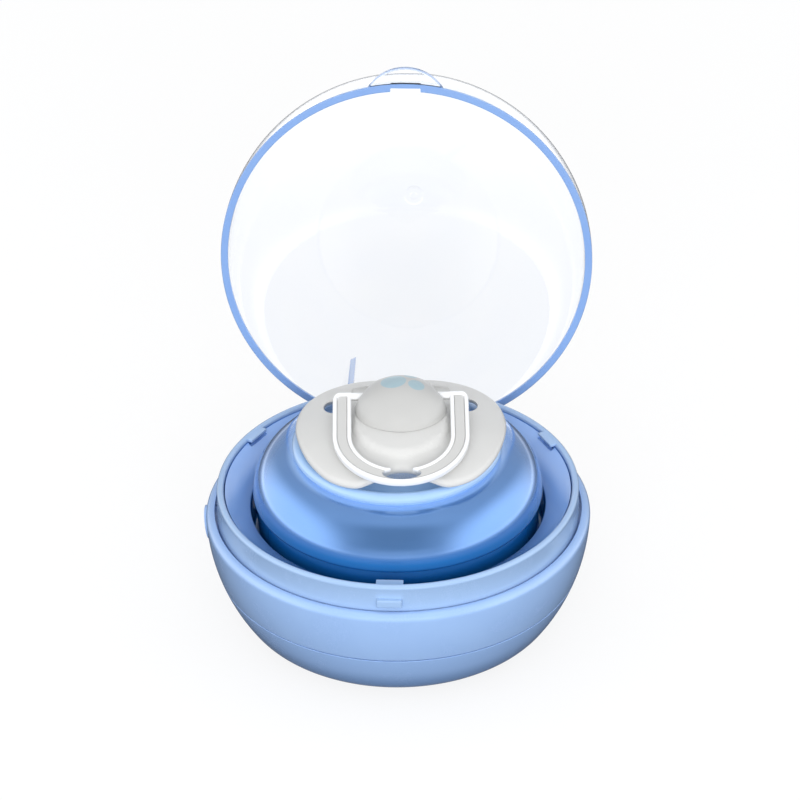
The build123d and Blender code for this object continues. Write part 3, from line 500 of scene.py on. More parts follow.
def soften(points, closed=True):
    """The outline with its marked corners rounded, and short steps beside every corner."""
    flat = [Vector(p[:2]) for p in points]
    if closed:
        flat.append(flat[0].copy())
    marks = [0.0]
    for a, b in zip(flat, flat[1:]):
        marks.append(marks[-1] + (b - a).length)

    def at(s):
        s = s % marks[-1] if closed else min(max(s, 0.0), marks[-1])
        for i in range(len(marks) - 1):
            if s <= marks[i + 1]:
                share = (s - marks[i]) / max(marks[i + 1] - marks[i], 1e-9)
                return flat[i].lerp(flat[i + 1], share)
        return flat[-1]

    corners = [(marks[i], p[2]) for i, p in enumerate(points) if len(p) > 2]
    made = []
    for i, p in enumerate(points):
        s = marks[i]
        if len(p) > 2:
            reach, start, end = p[2], at(s - p[2]), at(s + p[2])
            made.append((s - reach - 0.1, at(s - reach - 0.1)))
            for k in range(7):
                t = k / 6
                bend = start * (1 - t) ** 2 + flat[i] * 2 * t * (1 - t) + end * t**2
                made.append((s - reach + 2 * reach * t, bend))
            made.append((s + reach + 0.1, at(s + reach + 0.1)))
        elif all(abs(s - c) > r + 0.1 for c, r in corners):
            made.append((s, flat[i]))
    made.sort(key=lambda pair: pair[0])
    return [tuple(point) for _, point in made]


# %% [markdown]
# The lathe is a Geometry Nodes tree: it lays out a grid with one column per step of the turn and
# one row per outline point, then moves each grid point to its place, merges the seam and the
# poles, and sets the material. One tree can so make every round piece from its own outline.
# The result is kept as a plain mesh, because only plain meshes can be cut and exported.


# %% The lathe
def start_tree(name, inputs):
    """A new Geometry Nodes tree: its bench, and a wire for the geometry and each named input."""
    tree = bpy.data.node_groups.new(name, "GeometryNodeTree")
    sides = [("INPUT", label, kind) for label, kind in {"Geometry": "Geometry", **inputs}.items()]
    for side, label, kind in [*sides, ("OUTPUT", "Geometry", "Geometry")]:
        tree.interface.new_socket(label, in_out=side, socket_type="NodeSocket" + kind)
    bench = Bench(name, tree)
    return bench, bench.outputs("NodeGroupInput", ["Geometry", *inputs])


def end_tree(bench, geometry, material):
    """Make the result real, give it its material and send it out of the tree."""
    real = bench.node("GeometryNodeRealizeInstances", {}, {0: geometry})
    last = bench.node("GeometryNodeSetMaterial", {}, {"Geometry": real, "Material": material})
    bench.node("NodeGroupOutput", {}, {0: last})
    return bench.tree


def lathe_tree():
    bench, given = start_tree("lathe", {"Steps": "Int", "Material": "Material"})
    outline, steps, material = given
    rows = bench.node("GeometryNodeAttributeDomainSize", {}, {0: outline}, "Point Count")
    grid = bench.node(
        "GeometryNodeMeshGrid",
        {},
        {"Size X": 1.0, "Size Y": 1.0, "Vertices X": steps + 1, "Vertices Y": rows},
    )
    index = bench.node("GeometryNodeInputIndex")
    column = bench.maths("FLOOR", (index + 0.5) / rows)
    row = index - column * rows
    point = bench.node(
        "GeometryNodeSampleIndex",
        {"data_type": "FLOAT_VECTOR"},
        {"Geometry": outline, "Value": bench.node("GeometryNodeInputPosition"), "Index": row},
    )
    radius, _, height = bench.split(point)
    turn = column * (2 * math.pi) / steps
    x, y = radius * bench.maths("COSINE", turn), radius * bench.maths("SINE", turn)
    place = bench.node("ShaderNodeCombineXYZ", {}, {0: x, 1: y, 2: height})
    moved = bench.node("GeometryNodeSetPosition", {}, {"Geometry": grid, "Position": place})
    merged = bench.node("GeometryNodeMergeByDistance", {}, {"Geometry": moved, "Distance": 1e-7})
    return end_tree(bench, merged, material)


LATHE = lathe_tree()
print("the lathe has", len(LATHE.nodes), "nodes")


def show(name, mesh):
    """An object for a mesh, which may still be a BMesh."""
    if isinstance(mesh, bmesh.types.BMesh):
        data = bpy.data.meshes.new(name)
        mesh.to_mesh(data)
        mesh.free()
        mesh = data
    piece = bpy.data.objects.new(name, mesh)
    bpy.context.scene.collection.objects.link(piece)
    return piece


def grow(piece, tree, values):
    """Run a Geometry Nodes tree on a piece and keep the result as its plain mesh."""
    modifier = piece.modifiers.new(tree.name, "NODES")
    modifier.node_group = tree
    for item in tree.interface.items_tree:
        if item.in_out == "INPUT" and item.name in values:
            modifier[item.identifier] = values[item.name]
    return bake(piece)


def bake(piece):
    """Replace a piece's mesh by what its modifiers make of it."""
    graph = bpy.context.evaluated_depsgraph_get()
    mesh = bpy.data.meshes.new_from_object(piece.evaluated_get(graph))
    piece.modifiers.clear()
    piece.data = mesh
    return piece


def tidy(piece, angle=35):
    """Merge doubles, turn every face outward and shade smooth except at sharp edges."""
    mesh = bmesh.new()
    mesh.from_mesh(piece.data)
    bmesh.ops.remove_doubles(mesh, verts=mesh.verts, dist=1e-7)
    bmesh.ops.dissolve_degenerate(mesh, edges=mesh.edges, dist=1e-7)
    bmesh.ops.recalc_face_normals(mesh, faces=mesh.faces)
    mesh.to_mesh(piece.data)
    mesh.free()
    piece.data.shade_smooth()
    piece.data.set_sharp_from_angle(angle=math.radians(angle))
    return piece


def turned(name, points, material=None, steps=240, move=Matrix.Identity(4)):
    """A piece turned about the vertical axis, then moved.

    An outline that starts on the axis also ends there. Any other is a closed loop.
    """
    closed = points[0][0] > 0.001
    rounded = soften(points, closed)
    if closed:
        rounded.append(rounded[0])
    mesh = bpy.data.meshes.new(name)
    mesh.from_pydata([(r * MM, 0, z * MM) for r, z in rounded], [], [])
    piece = grow(show(name, mesh), LATHE, {"Steps": steps, "Material": material})
    piece.data.transform(move)
    return tidy(piece)


# %% [markdown]
# Slots, bores and bosses are cut or joined with exact Booleans. The cutters are plain blocks and
# rods that only exist for the cut and are deleted straight after it, so none is ever a piece.


# %% Blocks, rods and Booleans
def block(x, y, z, bevel=0.0, turn=0.0):
    """A box in millimetres with its edges rounded by bevel, turned about Z in degrees."""
    mesh = bmesh.new()
    bmesh.ops.create_cube(mesh, size=1)
    size = Vector([b - a for a, b in (x, y, z)]) * MM
    middle = Vector([(b + a) / 2 for a, b in (x, y, z)]) * MM
    for vert in mesh.verts:
        vert.co = Vector([c * s for c, s in zip(vert.co, size)]) + middle
    if bevel:
        bmesh.ops.bevel(
            mesh, geom=mesh.edges[:], offset=bevel * MM, segments=4, profile=0.5, affect="EDGES"
        )
    bmesh.ops.rotate(mesh, verts=mesh.verts, matrix=Matrix.Rotation(math.radians(turn), 3, "Z"))
    return show("block", mesh)


def rod(radius, start, end, middle=(0.0, 0.0), along="Z", steps=64):
    """A cylinder in millimetres between two values on an axis."""
    if along == "X":
        move = Matrix.Translation(Vector((0, *middle)) * MM) @ Matrix.Rotation(math.pi / 2, 4, "Y")
    else:
        move = Matrix.Translation(Vector((*middle, 0)) * MM)
    outline = [(0, start), (radius, start), (radius, end), (0, end)]
    return turned("rod", outline, steps=steps, move=move)


def joined(cutters):
    """Several separate solids as one object, so that one Boolean does them all."""
    mesh = bmesh.new()
    for cutter in cutters:
        mesh.from_mesh(cutter.data)
        bpy.data.objects.remove(cutter)
    return show("cutters", mesh)


def bar(x, outline):
    """A solid bar along X: an outline of (y, z) points between two values of x."""
    mesh = bmesh.new()
    near, far = [[mesh.verts.new(Vector((v, y, z)) * MM) for y, z in outline] for v in x]
    mesh.faces.new(near)
    mesh.faces.new(far)
    for i in range(len(outline)):
        k = (i + 1) % len(outline)
        mesh.faces.new((near[i], near[k], far[k], far[i]))
    bmesh.ops.recalc_face_normals(mesh, faces=mesh.faces)
    return show("bar", mesh)


def ball_solid(radius, centre_z):
    return turned("ball", arc((0, centre_z), radius, -90, 90, 80), steps=160)


def carve(piece, cutters, operation="DIFFERENCE"):
    """Cut, join or intersect a piece with solids that are then deleted."""
    tool = joined(cutters) if len(cutters) > 1 else cutters[0]
    modifier = piece.modifiers.new("carve", "BOOLEAN")
    modifier.object, modifier.operation, modifier.solver = tool, operation, "EXACT"
    materials = [m for m in piece.data.materials if m]
    bake(piece)
    bpy.data.objects.remove(tool)
    piece.data.materials.clear()
    for material in materials[:1]:
        piece.data.materials.append(material)
    for face in piece.data.polygons:
        face.material_index = 0
    return tidy(piece)


def settle(piece, body, node):
    """Put a finished piece on its body, in place of its CAD node."""
    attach(piece, body)
    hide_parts(node)
    triangles = sum(len(face.vertices) - 2 for face in piece.data.polygons)
    print(f"{piece.name} stands for {node}: {triangles} triangles")
    return piece


# %% [markdown]
# The base is one ball of 88 mm, cut flat below and parted by a thin seam. The upper shell ends in
# a rounded edge at the ball's widest line, with a ledge inside it for the collar. Both halves are
# hollow with a wall of 2 mm, so the seam is a real gap and shows as a fine dark line.

# %% Upper shell
BALL, MIDDLE, WALL = 44.0, 28.0, 2.0
INSIDE = BALL - WALL
EDGE_ROUND = 1.6
SEAM_TOP, SEAM_FOOT = 14.45, 14.15
LEDGE, LEDGE_FOOT, LEDGE_RADIUS = 26.0, 25.4, 39.4
BUTTON, BUTTON_Z = 3.9, 22.3
PORT, PORT_RECESS, PORT_Z = (9.8, 4.0), (12.6, 4.8), 17
EAR, PIN = 2.6, 1.0
ball = (0, MIDDLE)


def ball_angle(radius, height):
    return math.degrees(math.asin((height - MIDDLE) / radius))


edge_turn = ball_angle(BALL - EDGE_ROUND, MIDDLE - EDGE_ROUND)
edge_radius = (BALL - EDGE_ROUND) * math.cos(math.radians(edge_turn))
edge_arc = arc((edge_radius, MIDDLE - EDGE_ROUND), EDGE_ROUND, edge_turn, 90, 14)
outer_arc = arc(ball, BALL, ball_angle(BALL, SEAM_TOP), edge_turn, 32)
inner_arc = arc(ball, INSIDE, ball_angle(INSIDE, LEDGE_FOOT), ball_angle(INSIDE, SEAM_TOP), 24)
shell = turned(
    "body_shell",
    [(*outer_arc[0], 0.18), *outer_arc[1:], *edge_arc[1:], (INSIDE, MIDDLE, 0.1), (INSIDE, LEDGE),
     (LEDGE_RADIUS, LEDGE, 0.15), (LEDGE_RADIUS, LEDGE_FOOT), *inner_arc],
    shell_blue,
)
carve(shell, [
    block((-9.6, 9.6), (36.8, 45.5), (19.5, 30)),
    rod(BUTTON + 0.15, -50, -41, (0, BUTTON_Z), "X"),
])


def port_cut(width, height):
    """A bar along X with round sides, at the charging port's height."""
    half, radius = width / 2 - height / 2, height / 2
    outline = arc((half, PORT_Z), radius, -90, 90, 16) + arc((-half, PORT_Z), radius, 90, 270, 16)
    return bar((38, 50), outline)


recess = port_cut(*PORT_RECESS)
carve(recess, [ball_solid(BALL - 0.8, MIDDLE)])
carve(shell, [recess])
carve(shell, [port_cut(*PORT)])
carve(shell, [block((-5, 5), (37.8, 41.4), (16.4, 24))], "UNION")
carve(shell, [rod(EAR, -5, 5, (HINGE_Y, HINGE_Z), "X", 96)], "UNION")
carve(shell, [rod(PIN, -9, 9, (HINGE_Y, HINGE_Z), "X")])
settle(shell, "case", "base_shell")

# %% [markdown]
# The lower cover closes the ball. Its rim carries a tongue that centres the shell, and four
# screws go up through wells in its underside. The round foot pad is let into the flat bottom.

# %% Lower cover and foot pad
BEND_ROUND, BEND_Z = 8.0, 8.4
TONGUE, TONGUE_INSIDE, TONGUE_FOOT = 39.454, 38.304, 12.3
WELL, WELL_WALL, WELL_AT, WELLS = 2.15, 0.75, 32.5, (45, 135, 225, 315)
bend_drop = MIDDLE - BEND_Z
bend = (math.sqrt((BALL - BEND_ROUND) ** 2 - bend_drop**2), BEND_Z)
meet = -math.degrees(math.atan2(bend_drop, bend[0]))
cover = turned(
    "lower_cover",
    [(0, 1.0), (26.15, 1.0), (26.15, 0.4, 0.12), *arc(bend, BEND_ROUND, -90, meet, 16),
     *arc(ball, BALL, meet, ball_angle(BALL, SEAM_FOOT), 20)[1:-1],
     (math.sqrt(BALL**2 - (MIDDLE - SEAM_FOOT) ** 2), SEAM_FOOT, 0.18),
     (TONGUE, SEAM_FOOT), (TONGUE, 16.0, 0.2), (TONGUE_INSIDE, 16.0, 0.2),
     (TONGUE_INSIDE, TONGUE_FOOT),
     *arc(ball, INSIDE, ball_angle(INSIDE, TONGUE_FOOT), meet, 16),
     *arc(bend, BEND_ROUND - WALL, meet, -90, 12)[1:], (0, BEND_Z - BEND_ROUND + WALL)],
    cover_blue,
)
well_places = [
    (WELL_AT * math.cos(math.radians(a)), WELL_AT * math.sin(math.radians(a))) for a in WELLS
]
carve(cover, [rod(WELL + WELL_WALL, 2.7, 14.6, place) for place in well_places], "UNION")
carve(cover, [rod(WELL, -1, 9.0, place) for place in well_places])
settle(cover, "case", "bottom_cover")

pad = turned(
    "foot_disc",
    [(0, 0.25), (4, 0.25), (4.3, 0, 0.1), (24.2, 0, 0.3), (24.9, 0.3), (26, 0.3, 0.2), (26, 1.0),
     (0, 1.0)],
    pad_grey,
    steps=160,
)
settle(pad, "case", "foot_pad")

# %% [markdown]
# The case has a few small things that repeat round its axis: three tabs on the collar and four
# screw heads underneath. Each is modelled once. A Geometry Nodes tree makes one point for each
# copy and puts the copy there with its turn, so the number and the first angle are plain inputs.


# %% A tree that repeats a solid round a circle
def circle_tree():
    bench, given = start_tree(
        "round_the_case", {"Count": "Int", "First Angle": "Float", "Material": "Material"}
    )
    unit, count, first, material = given
    line = bench.node("GeometryNodeMeshLine", {}, {"Count": count, "Offset": (0, 0, 0)})
    index = bench.node("GeometryNodeInputIndex")
    angle = first + index * (2 * math.pi) / count
    turn = bench.node("ShaderNodeCombineXYZ", {}, {2: angle})
    copies = bench.node(
        "GeometryNodeInstanceOnPoints", {}, {"Points": line, "Instance": unit, "Rotation": turn}
    )
    return end_tree(bench, copies, material)


ROUND_THE_CASE = circle_tree()


def repeated(piece, count, first, material):
    values = {"Count": count, "First Angle": math.radians(first), "Material": material}
    return tidy(grow(piece, ROUND_THE_CASE, values))


print("the circle tree has", len(ROUND_THE_CASE.nodes), "nodes")

# %% [markdown]
# The collar stands in the shell with a narrow gap round it, and the closed lid slips over it. It
# is turned from one outline, and its bump at the front, which snaps into the lid's notch, and the
# three small tabs that hold the liner down are joined to it. One slot lets the lid's rib through.


# %% Collar
def rib_slot():
    return block((RIB_X - 1.2, RIB_X + 1.2), (35.4, 46), (26.5, 36.1))


collar = turned(
    "collar",
    [(41.4, 29.0), *arc_through((41.2, 32.9), (40.4, 34.1), (39.7, 33.4), 14), (39.6, 31.5),
     (39.0, 31.5, 0.1), (39.0, 29.3), (39.6, 26.1), (41.5, 26.1, 0.15)],
    collar_blue,
)
bump = block((40.3, 42.35), (-2.8, 2.8), (29.1, 31.0), 0.3, -90)
tabs = repeated(block((38.3, 40.2), (-3, 3), (33.3, 34.0), 0.15), 3, -90, collar_blue)
carve(collar, [bump, tabs], "UNION")
carve(collar, [rib_slot()])
settle(collar, "case", "collar_ring")

# %% [markdown]
# The liner is the bowl between collar and holder. On the real case it is one moulding with a thin
# wall, so its outline runs down over the sloping shelf and the trough to the seat of the window
# and comes back underneath. Turning that loop gives a real wall without a modifier. The slots for
# the collar's tabs, the rib and the window are cut afterwards.

# %% Liner
liner = turned(
    "liner",
    [(39.45, 33.2, 0.12), (37.9, 32.0, 0.25), (33.7, 28.9, 0.3), (33.5, 21.0, 0.8),
     (28.2, 21.0, 0.3), (27.8, 16.2, 0.5), (10.8, 16.2, 0.15), (10.8, 13.6), (13.2, 13.6),
     (13.2, 14.8), (29.2, 14.8), (29.2, 19.6), (34.9, 19.6), (34.9, 28.2), (38.9, 31.5),
     (39.45, 31.5)],
    liner_blue,
)
slots = [block((38.3, 40.5), (-3.2, 3.2), (32.2, 34.2), 0.1, turn) for turn in (30, 150)]
carve(liner, [*slots, rib_slot()])
carve(liner, [rod(12.15, 14.9, 17, steps=120)])
settle(liner, "case", "liner_bowl")

# %% [markdown]
# The holder is the shiny bell in the middle. A skirt stands in the trough, a quarter circle makes
# the shoulder, and a lip with a groove inside it carries the pacifier. It is one outline.

# %% Holder
holder = turned(
    "holder",
    [(30.6, 26.0), (30.6, 21.0), (32.2, 21.0, 0.2),
     *arc_through((32.2, 31.6), (32.88, 32.2), (33.0, 33.0), 8),
     *arc((22.8, 33.0), 10.2, 0, 90, 40)[1:-1], (22.8, 43.2, 0.3),
     *arc_through((23.3, 43.6), (23.8, 44.7), (22.8, 45.8), 14),
     *arc_through((22.8, 45.8), (21.9, 45.82), (21.3, 45.5), 6)[1:],
     (21.0, 44.0, 0.5), (15.0, 44.0, 0.7), (15.0, 40.6, 0.3), (16.6, 40.6), (16.6, 41.6),
     *arc((22.8, 33.0), 8.6, 90, 0, 24), (30.6, 31.6)],
    holder_blue,
    steps=256,
)
settle(holder, "case", "holder_dome")

# %% [markdown]
# Screw heads in their wells: a turned pan head with a cross cut into it, repeated four times.

# %% Cover screws
screw = turned(
    "screw_heads",
    [(0, 7.6), (1.2, 7.6), (2.0, 7.9, 0.25), (2.0, 9.0), (1.0, 9.0), (1.0, 17.7), (0, 17.7)],
    steel,
    steps=40,
    move=Matrix.Translation((WELL_AT * MM, 0, 0)),
)
carve(screw, [block((31.3, 33.7), (-0.25, 0.25), (7, 8.3))])
carve(screw, [block((32.25, 32.75), (-1.2, 1.2), (7, 8.3))])
repeated(screw, len(WELLS), WELLS[0], steel)
settle(screw, "case", "cover_screws")

# %% [markdown]
# The lid is built closed, in the frame where it is a simple half ball on a short straight band,
# and then swung open about the hinge line by the same 98 degrees as in the CAD. It carries the
# finger tab, the notch for the bump, a nub at its crown, one thin rib and the two hinge ears.

# %% Lid
lid = turned(
    "lid",
    [*arc((0, LID_MIDDLE), LID, 90, 0, 60), (LID, RIM, 0.25), (LID_INSIDE, RIM, 0.25),
     *arc((0, LID_MIDDLE), LID_INSIDE, 0, 90, 60)],
    lid_clear,
    steps=256,
)
tab = turned(
    "tab",
    [(0, RIM), (TAB, RIM, 0.4), (TAB, RIM + 1.5, 0.4), (0, RIM + 1.5)],
    steps=128,
    move=Matrix.Translation((0, TAB_Y * MM, 0)),
)
carve(tab, [rod(43.0, 20, 40, steps=200)])
carve(lid, [tab], "UNION")
nub = turned(
    "nub",
    [(0, 71.4), (0.75, 71.4), (0.96, 71.0, 0.08), (2.4, 71.0, 0.5), (2.4, 72.6), (0, 72.6)],
    steps=48,
)
carve(lid, [nub], "UNION")

reach = math.sqrt((LID - 0.85) ** 2 - RIB_X**2)
rib_back = arc((0, LID_MIDDLE), reach, 33, 0, 16)
rib_sides = (RIB_X - RIB_HALF, RIB_X + RIB_HALF)
carve(lid, [bar(rib_sides, [(37.1, RIM), *rib_back, (reach, RIM)])], "UNION")
carve(lid, [block((-3.5, 3.5), (-42.9, -40.1), (27.5, 31.5), 0.2)])
for side in (-1, 1):
    x = sorted((side * 5.3, side * 9.0))
    ear = rod(EAR, *x, (HINGE_Y, HINGE_Z), "X", 96)
    carve(ear, [block(x, (41.75, LID), (HINGE_Z, 30.9))], "UNION")
    carve(ear, [ball_solid(LID, RIM)], "INTERSECT")
    carve(ear, [rod(PIN + 0.05, x[0] - 1, x[1] + 1, (HINGE_Y, HINGE_Z), "X")])
    carve(lid, [ear], "UNION")
lid.data.transform(swing)
settle(lid, "lid", "lid_dome")

# %% [markdown]
# The power button is a disc that follows the ball, a little proud of it, with a soft edge.

# %% Power button
button = turned(
    "button_cap",
    [(0, -46), (BUTTON, -46), (BUTTON, -40.4), (BUTTON + 0.45, -40.4),
     (BUTTON + 0.45, -39.7), (1.5, -39.7), (1.5, -38.5), (0, -38.5)],
    shell_blue,
    steps=96,
    move=Matrix.Translation((0, 0, BUTTON_Z * MM)) @ Matrix.Rotation(math.pi / 2, 4, "Y"),
)
carve(button, [ball_solid(BALL + 0.6, MIDDLE)], "INTERSECT")
soft_edge = button.modifiers.new("soft_edge", "BEVEL")
soft_edge.width, soft_edge.segments, soft_edge.angle_limit = 0.3 * MM, 4, math.radians(50)
bake(button)
tidy(button, 40)
settle(button, "button", "power_button")

# %% [markdown]
# The pacifier's plate follows a large ball and has a butterfly outline. Rings of points run from
# its middle to the outline, round the edge and back below, so the edge is soft all the way. The
# raised middle is part of the same skin, and the two vents are cut with a cutter that flares.

# %% Pacifier plate
laid = Matrix.Translation((0.9 * MM, 0, 0)) @ Matrix.Rotation(math.radians(3.1), 4, "Z")
half_outline = [
    (0, -18.2), (3.0, -18.7), (6.6, -20.6), (11.0, -21.3), (16.8, -17.8), (21.4, -10.3),
    (23.8, 0.0), (22.6, 8.2), (18.6, 13.4), (13.0, 16.0), (6.5, 16.4), (0, 15.2),
]


def smooth_loop(points, steps):
    """A smooth closed line through points, as (x, y)."""
    count, made = len(points), []
    for i in range(count):
        p0, p1, p2, p3 = [Vector(points[(i + k - 1) % count]) for k in range(4)]
        for s in range(steps):
            t = s / steps
            made.append(
                0.5 * (2 * p1 + (p2 - p0) * t + (2 * p0 - 5 * p1 + 4 * p2 - p3) * t**2
                       + (3 * p1 - p0 - 3 * p2 + p3) * t**3)
            )
    return made


PLATE_BALL, BALL_Y, BALL_Z = 75, 3, -22
OVAL, OVAL_Y, STEP = (10.9, 12.4), -2.5, 1.2
TEAT_HOLE, KNOB_SEAT = 6.1, 8.65


def plate_height(x, y, depth):
    """Height of the plate's ball at a place, this far below its top skin."""
    return BALL_Z + math.sqrt((PLATE_BALL - depth) ** 2 - x**2 - (y - BALL_Y) ** 2)


def rise(x, y):
    """The raised middle, a soft step round an oval."""
    out = math.hypot(x / OVAL[0], (y - OVAL_Y) / OVAL[1])
    t = min(max((1.05 - out) / 0.12, 0), 1)
    return STEP * t * t * (3 - 2 * t)


def ring_mesh(name, rings, material):
    """A closed skin over rings of points, with its two ends drawn to a point."""
    mesh = bmesh.new()
    loops = [[mesh.verts.new(p) for p in ring] for ring in rings[1:-1]]
    for a, b in zip(loops, loops[1:]):
        for i in range(len(a)):
            k = (i + 1) % len(a)
            mesh.faces.new((a[i], a[k], b[k], b[i]))
    for end, loop in ((rings[0], loops[0]), (rings[-1], loops[-1])):
        tip = mesh.verts.new(end)
        for i in range(len(loop)):
            mesh.faces.new((loop[i], loop[(i + 1) % len(loop)], tip))
    piece = show(name, mesh)
    piece.data.materials.append(material)
    return tidy(piece)


outline = smooth_loop(half_outline + [(-x, y) for x, y in half_outline[-2:0:-1]], 10)
hub = Vector((0, -1.5))
EDGE = 0.9
RINGS = 26


def skin_point(place, side, half=EDGE):
    """A point of the upper (1) or lower (-1) skin, this far from the plate's middle layer."""
    x, y = place
    z = plate_height(x, y, EDGE) + side * half + (rise(x, y) if side > 0 else 0)
    return Vector((x, y, z)) * MM


def plate_rings(side):
    """Rings from the outline inward: first round the soft edge, then over the skin."""
    aways, rings = [point - hub for point in outline], []
    for angle in range(0, 91, 15):
        cosine = math.cos(math.radians(angle))
        inset, half = EDGE * (1 - cosine), EDGE * math.sqrt(1 - cosine**2)
        places = [hub + away * (1 - inset / away.length) for away in aways]
        rings.append([skin_point(place, side, half) for place in places])
    for step in range(1, RINGS):
        left = 1 - step / RINGS
        places = [hub + away * (1 - EDGE / away.length) * left for away in aways]
        rings.append([skin_point(place, side) for place in places])
    return rings


top, bottom = plate_rings(1), plate_rings(-1)
rings = [skin_point(hub, 1), *reversed(top), *bottom[1:], skin_point(hub, -1)]
plate = ring_mesh("pacifier_plate", rings, pacifier_white)


def flared(outline_points, middle, levels):
    """A cutter whose outline grows by a factor and moves back at each height, in millimetres."""
    middle, rings = Vector(middle), []
    for height, factor, backward in levels:
        ring = []
        for point in outline_points:
            x, y = middle + (Vector(point) - middle) * factor
            ring.append(Vector((x, y + backward, height)) * MM)
        rings.append(ring)
    rings.insert(0, sum(rings[0], Vector()) / len(rings[0]))
    rings.append(sum(rings[-1], Vector()) / len(rings[-1]))
    return ring_mesh("flared", rings, None)


vents = []
for side in (-1, 1):
    curve = arc((0, 0), 2.4, -104, 104, 24)
    shape = [(side * (15.0 + x), 5.6 + y) for x, y in curve]
    middle = (side * 15.7, 5.6)
    levels = ((54, 1.6, -0.4), (51.3, 1.25, 0), (50.8, 1.06, 0.3), (50.3, 1, 0.8), (46, 1, 5.2))
    vents.append(flared(shape, middle, levels))
carve(plate, vents)
for side in (-1, 1):
    x = sorted((side * 6.5, side * 11.2))
    carve(plate, [block(x, (8.4, 12.8), (51.3, 56), 0.7)])
carve(plate, [rod(TEAT_HOLE, 44, 52, steps=96)])
carve(plate, [rod(KNOB_SEAT, 50.9, 56, steps=96)])
plate.data.transform(laid)
settle(plate, "pacifier", "pacifier_shield")

# %% [markdown]
# The knob over the teat is a stretched ball with a scoop on each side, where the ring's pins go
# in. Each point of a fine ball that lies in a scoop is moved inward onto the scoop's wall.

# %% Pacifier knob
KNOB, KNOB_AT = (10.4, 9.2, 7.8), (0.0, 0.5, 52.9)
SCOOP, SCOOP_AT = (5.4, 5.0, 9.0), (11.8, 5.4, 57.0)
DOTS = ((-1.6, 1.5, 0.0029), (3.6, 0.2, 0.0019), (2.3, 4.6, 0.0015))


def printed_knob():
    """White plastic with three soft round dots in grey-teal."""
    bench = Bench("pacifier_knob_print")
    ink = 0.0
    for x, y, size in DOTS:
        share = 1 - (x / KNOB[0]) ** 2 - ((y - KNOB_AT[1]) / KNOB[1]) ** 2
        height = KNOB_AT[2] + KNOB[2] * math.sqrt(share)
        middle = laid @ (Vector((x, y, height)) * MM)
        ink = (1 - bench.smooth(bench.distance(middle), size - 0.00006, size + 0.00006)) + ink
    white = bench.tint(bench.noise(120), colour(192, 192, 190), colour(189, 189, 187))
    teal = bench.tint(bench.noise(900), colour(158, 183, 193), colour(166, 190, 198))
    sockets = {
        "Base Color": bench.tint(bench.maths("MINIMUM", ink, 1.0), white, teal),
        "Roughness": 0.34 + bench.noise(3000) * 0.08 - ink * 0.03,
        "Normal": bench.peel(),
        "Coat Weight": 0.1,
    }
    return bench.finish(sockets)


def knob_point(x, y, z):
    inside = 1 - ((y - SCOOP_AT[1]) / SCOOP[1]) ** 2 - ((z - SCOOP_AT[2]) / SCOOP[2]) ** 2
    if inside > 0:
        wall = SCOOP_AT[0] - SCOOP[0] * math.sqrt(inside)
        x = math.copysign(min(abs(x), wall), x)
    floor = plate_height(x, y, 0) + rise(x, y) + 0.1
    return Vector((x, y, max(z, floor))) * MM


knob_rings = []
for i in range(61):
    up = math.radians(90 - 3 * i)
    ring = []
    for k in range(144):
        turn = math.radians(2.5 * k)
        x = KNOB_AT[0] + KNOB[0] * math.cos(up) * math.cos(turn)
        y = KNOB_AT[1] + KNOB[1] * math.cos(up) * math.sin(turn)
        ring.append(knob_point(x, y, KNOB_AT[2] + KNOB[2] * math.sin(up)))
    knob_rings.append(ring if 0 < i < 60 else ring[0])
knob = ring_mesh("knob", knob_rings, printed_knob())
knob.data.transform(laid)
settle(knob, "pacifier", "pacifier_knob")

# %% [markdown]
# The pull ring is a flat band, bent into a U. Its section is dished between two raised beads, and
# the tops of the beads carry a painted highlight, so they show as bright lines. At the round end
# the band is cut back from inside to leave a thin bar for the grip, and the two arms end in pins
# that point into the knob's scoops.

# %% Pull ring
INNER, OUTER, HALF = 11.1, 15.3, 1.0
BEND = -13.2
PIVOT, PIVOT_PIN, REST_ANGLE = (0, 3.5, 55.1), 0.9, 10.7
band_middle, band_half = (INNER + OUTER) / 2, (OUTER - INNER) / 2
tilt = Matrix.Rotation(math.radians(REST_ANGLE), 4, "X")
ring_place = laid @ Matrix.Translation(Vector(PIVOT) * MM) @ tilt


def band_path():
    """Points along the middle of the band, each with the direction that faces outward."""
    straight = 18
    right = [(Vector((band_middle, BEND * i / straight)), Vector((1, 0))) for i in range(straight)]
    turns = [-math.pi * k / 96 for k in range(97)]
    out = [Vector((math.cos(a), math.sin(a))) for a in turns]
    bend = [(Vector((0, BEND)) + band_middle * o, o) for o in out]
    left = [(Vector((-p.x, p.y)), Vector((-1, 0))) for p, _ in reversed(right)]
    return right + bend + left


def band_section():
    """The band's section from its inner side over the top, as (across, up)."""
    bead, dish, foot = 0.5, 0.22, 0.8
    span = band_half - 2 * bead
    return [
        *arc((bead - band_half, HALF - bead), bead, 180, 0, 9),
        *[(share * span, HALF - dish) for share in (-0.9, -0.5, 0, 0.5, 0.9)],
        *arc((band_half - bead, HALF - bead), bead, 180, 0, 9),
        *arc((band_half - foot, foot - HALF), foot, 0, -90, 6),
        *arc((foot - band_half, foot - HALF), foot, -90, -180, 6),
    ]


def pull_plastic():
    """White plastic with a painted highlight on the tops of the beads, where an attribute says how
    much.
    """
    bench = Bench("pull_ring_white")
    bead = bench.node("ShaderNodeAttribute", {"attribute_name": "bead"}, out="Fac")
    drift = bench.noise(150)
    band = bench.tint(drift, colour(208, 208, 206), colour(204, 204, 202))
    sockets = {
        "Base Color": bench.tint(bead, band, colour(250, 251, 252)),
        "Roughness": 0.3 + bench.noise(3000) * 0.06,
        "Normal": bench.peel(0.1),
        "Coat Weight": bead * 0.5,
    }
    return bench.finish(sockets)


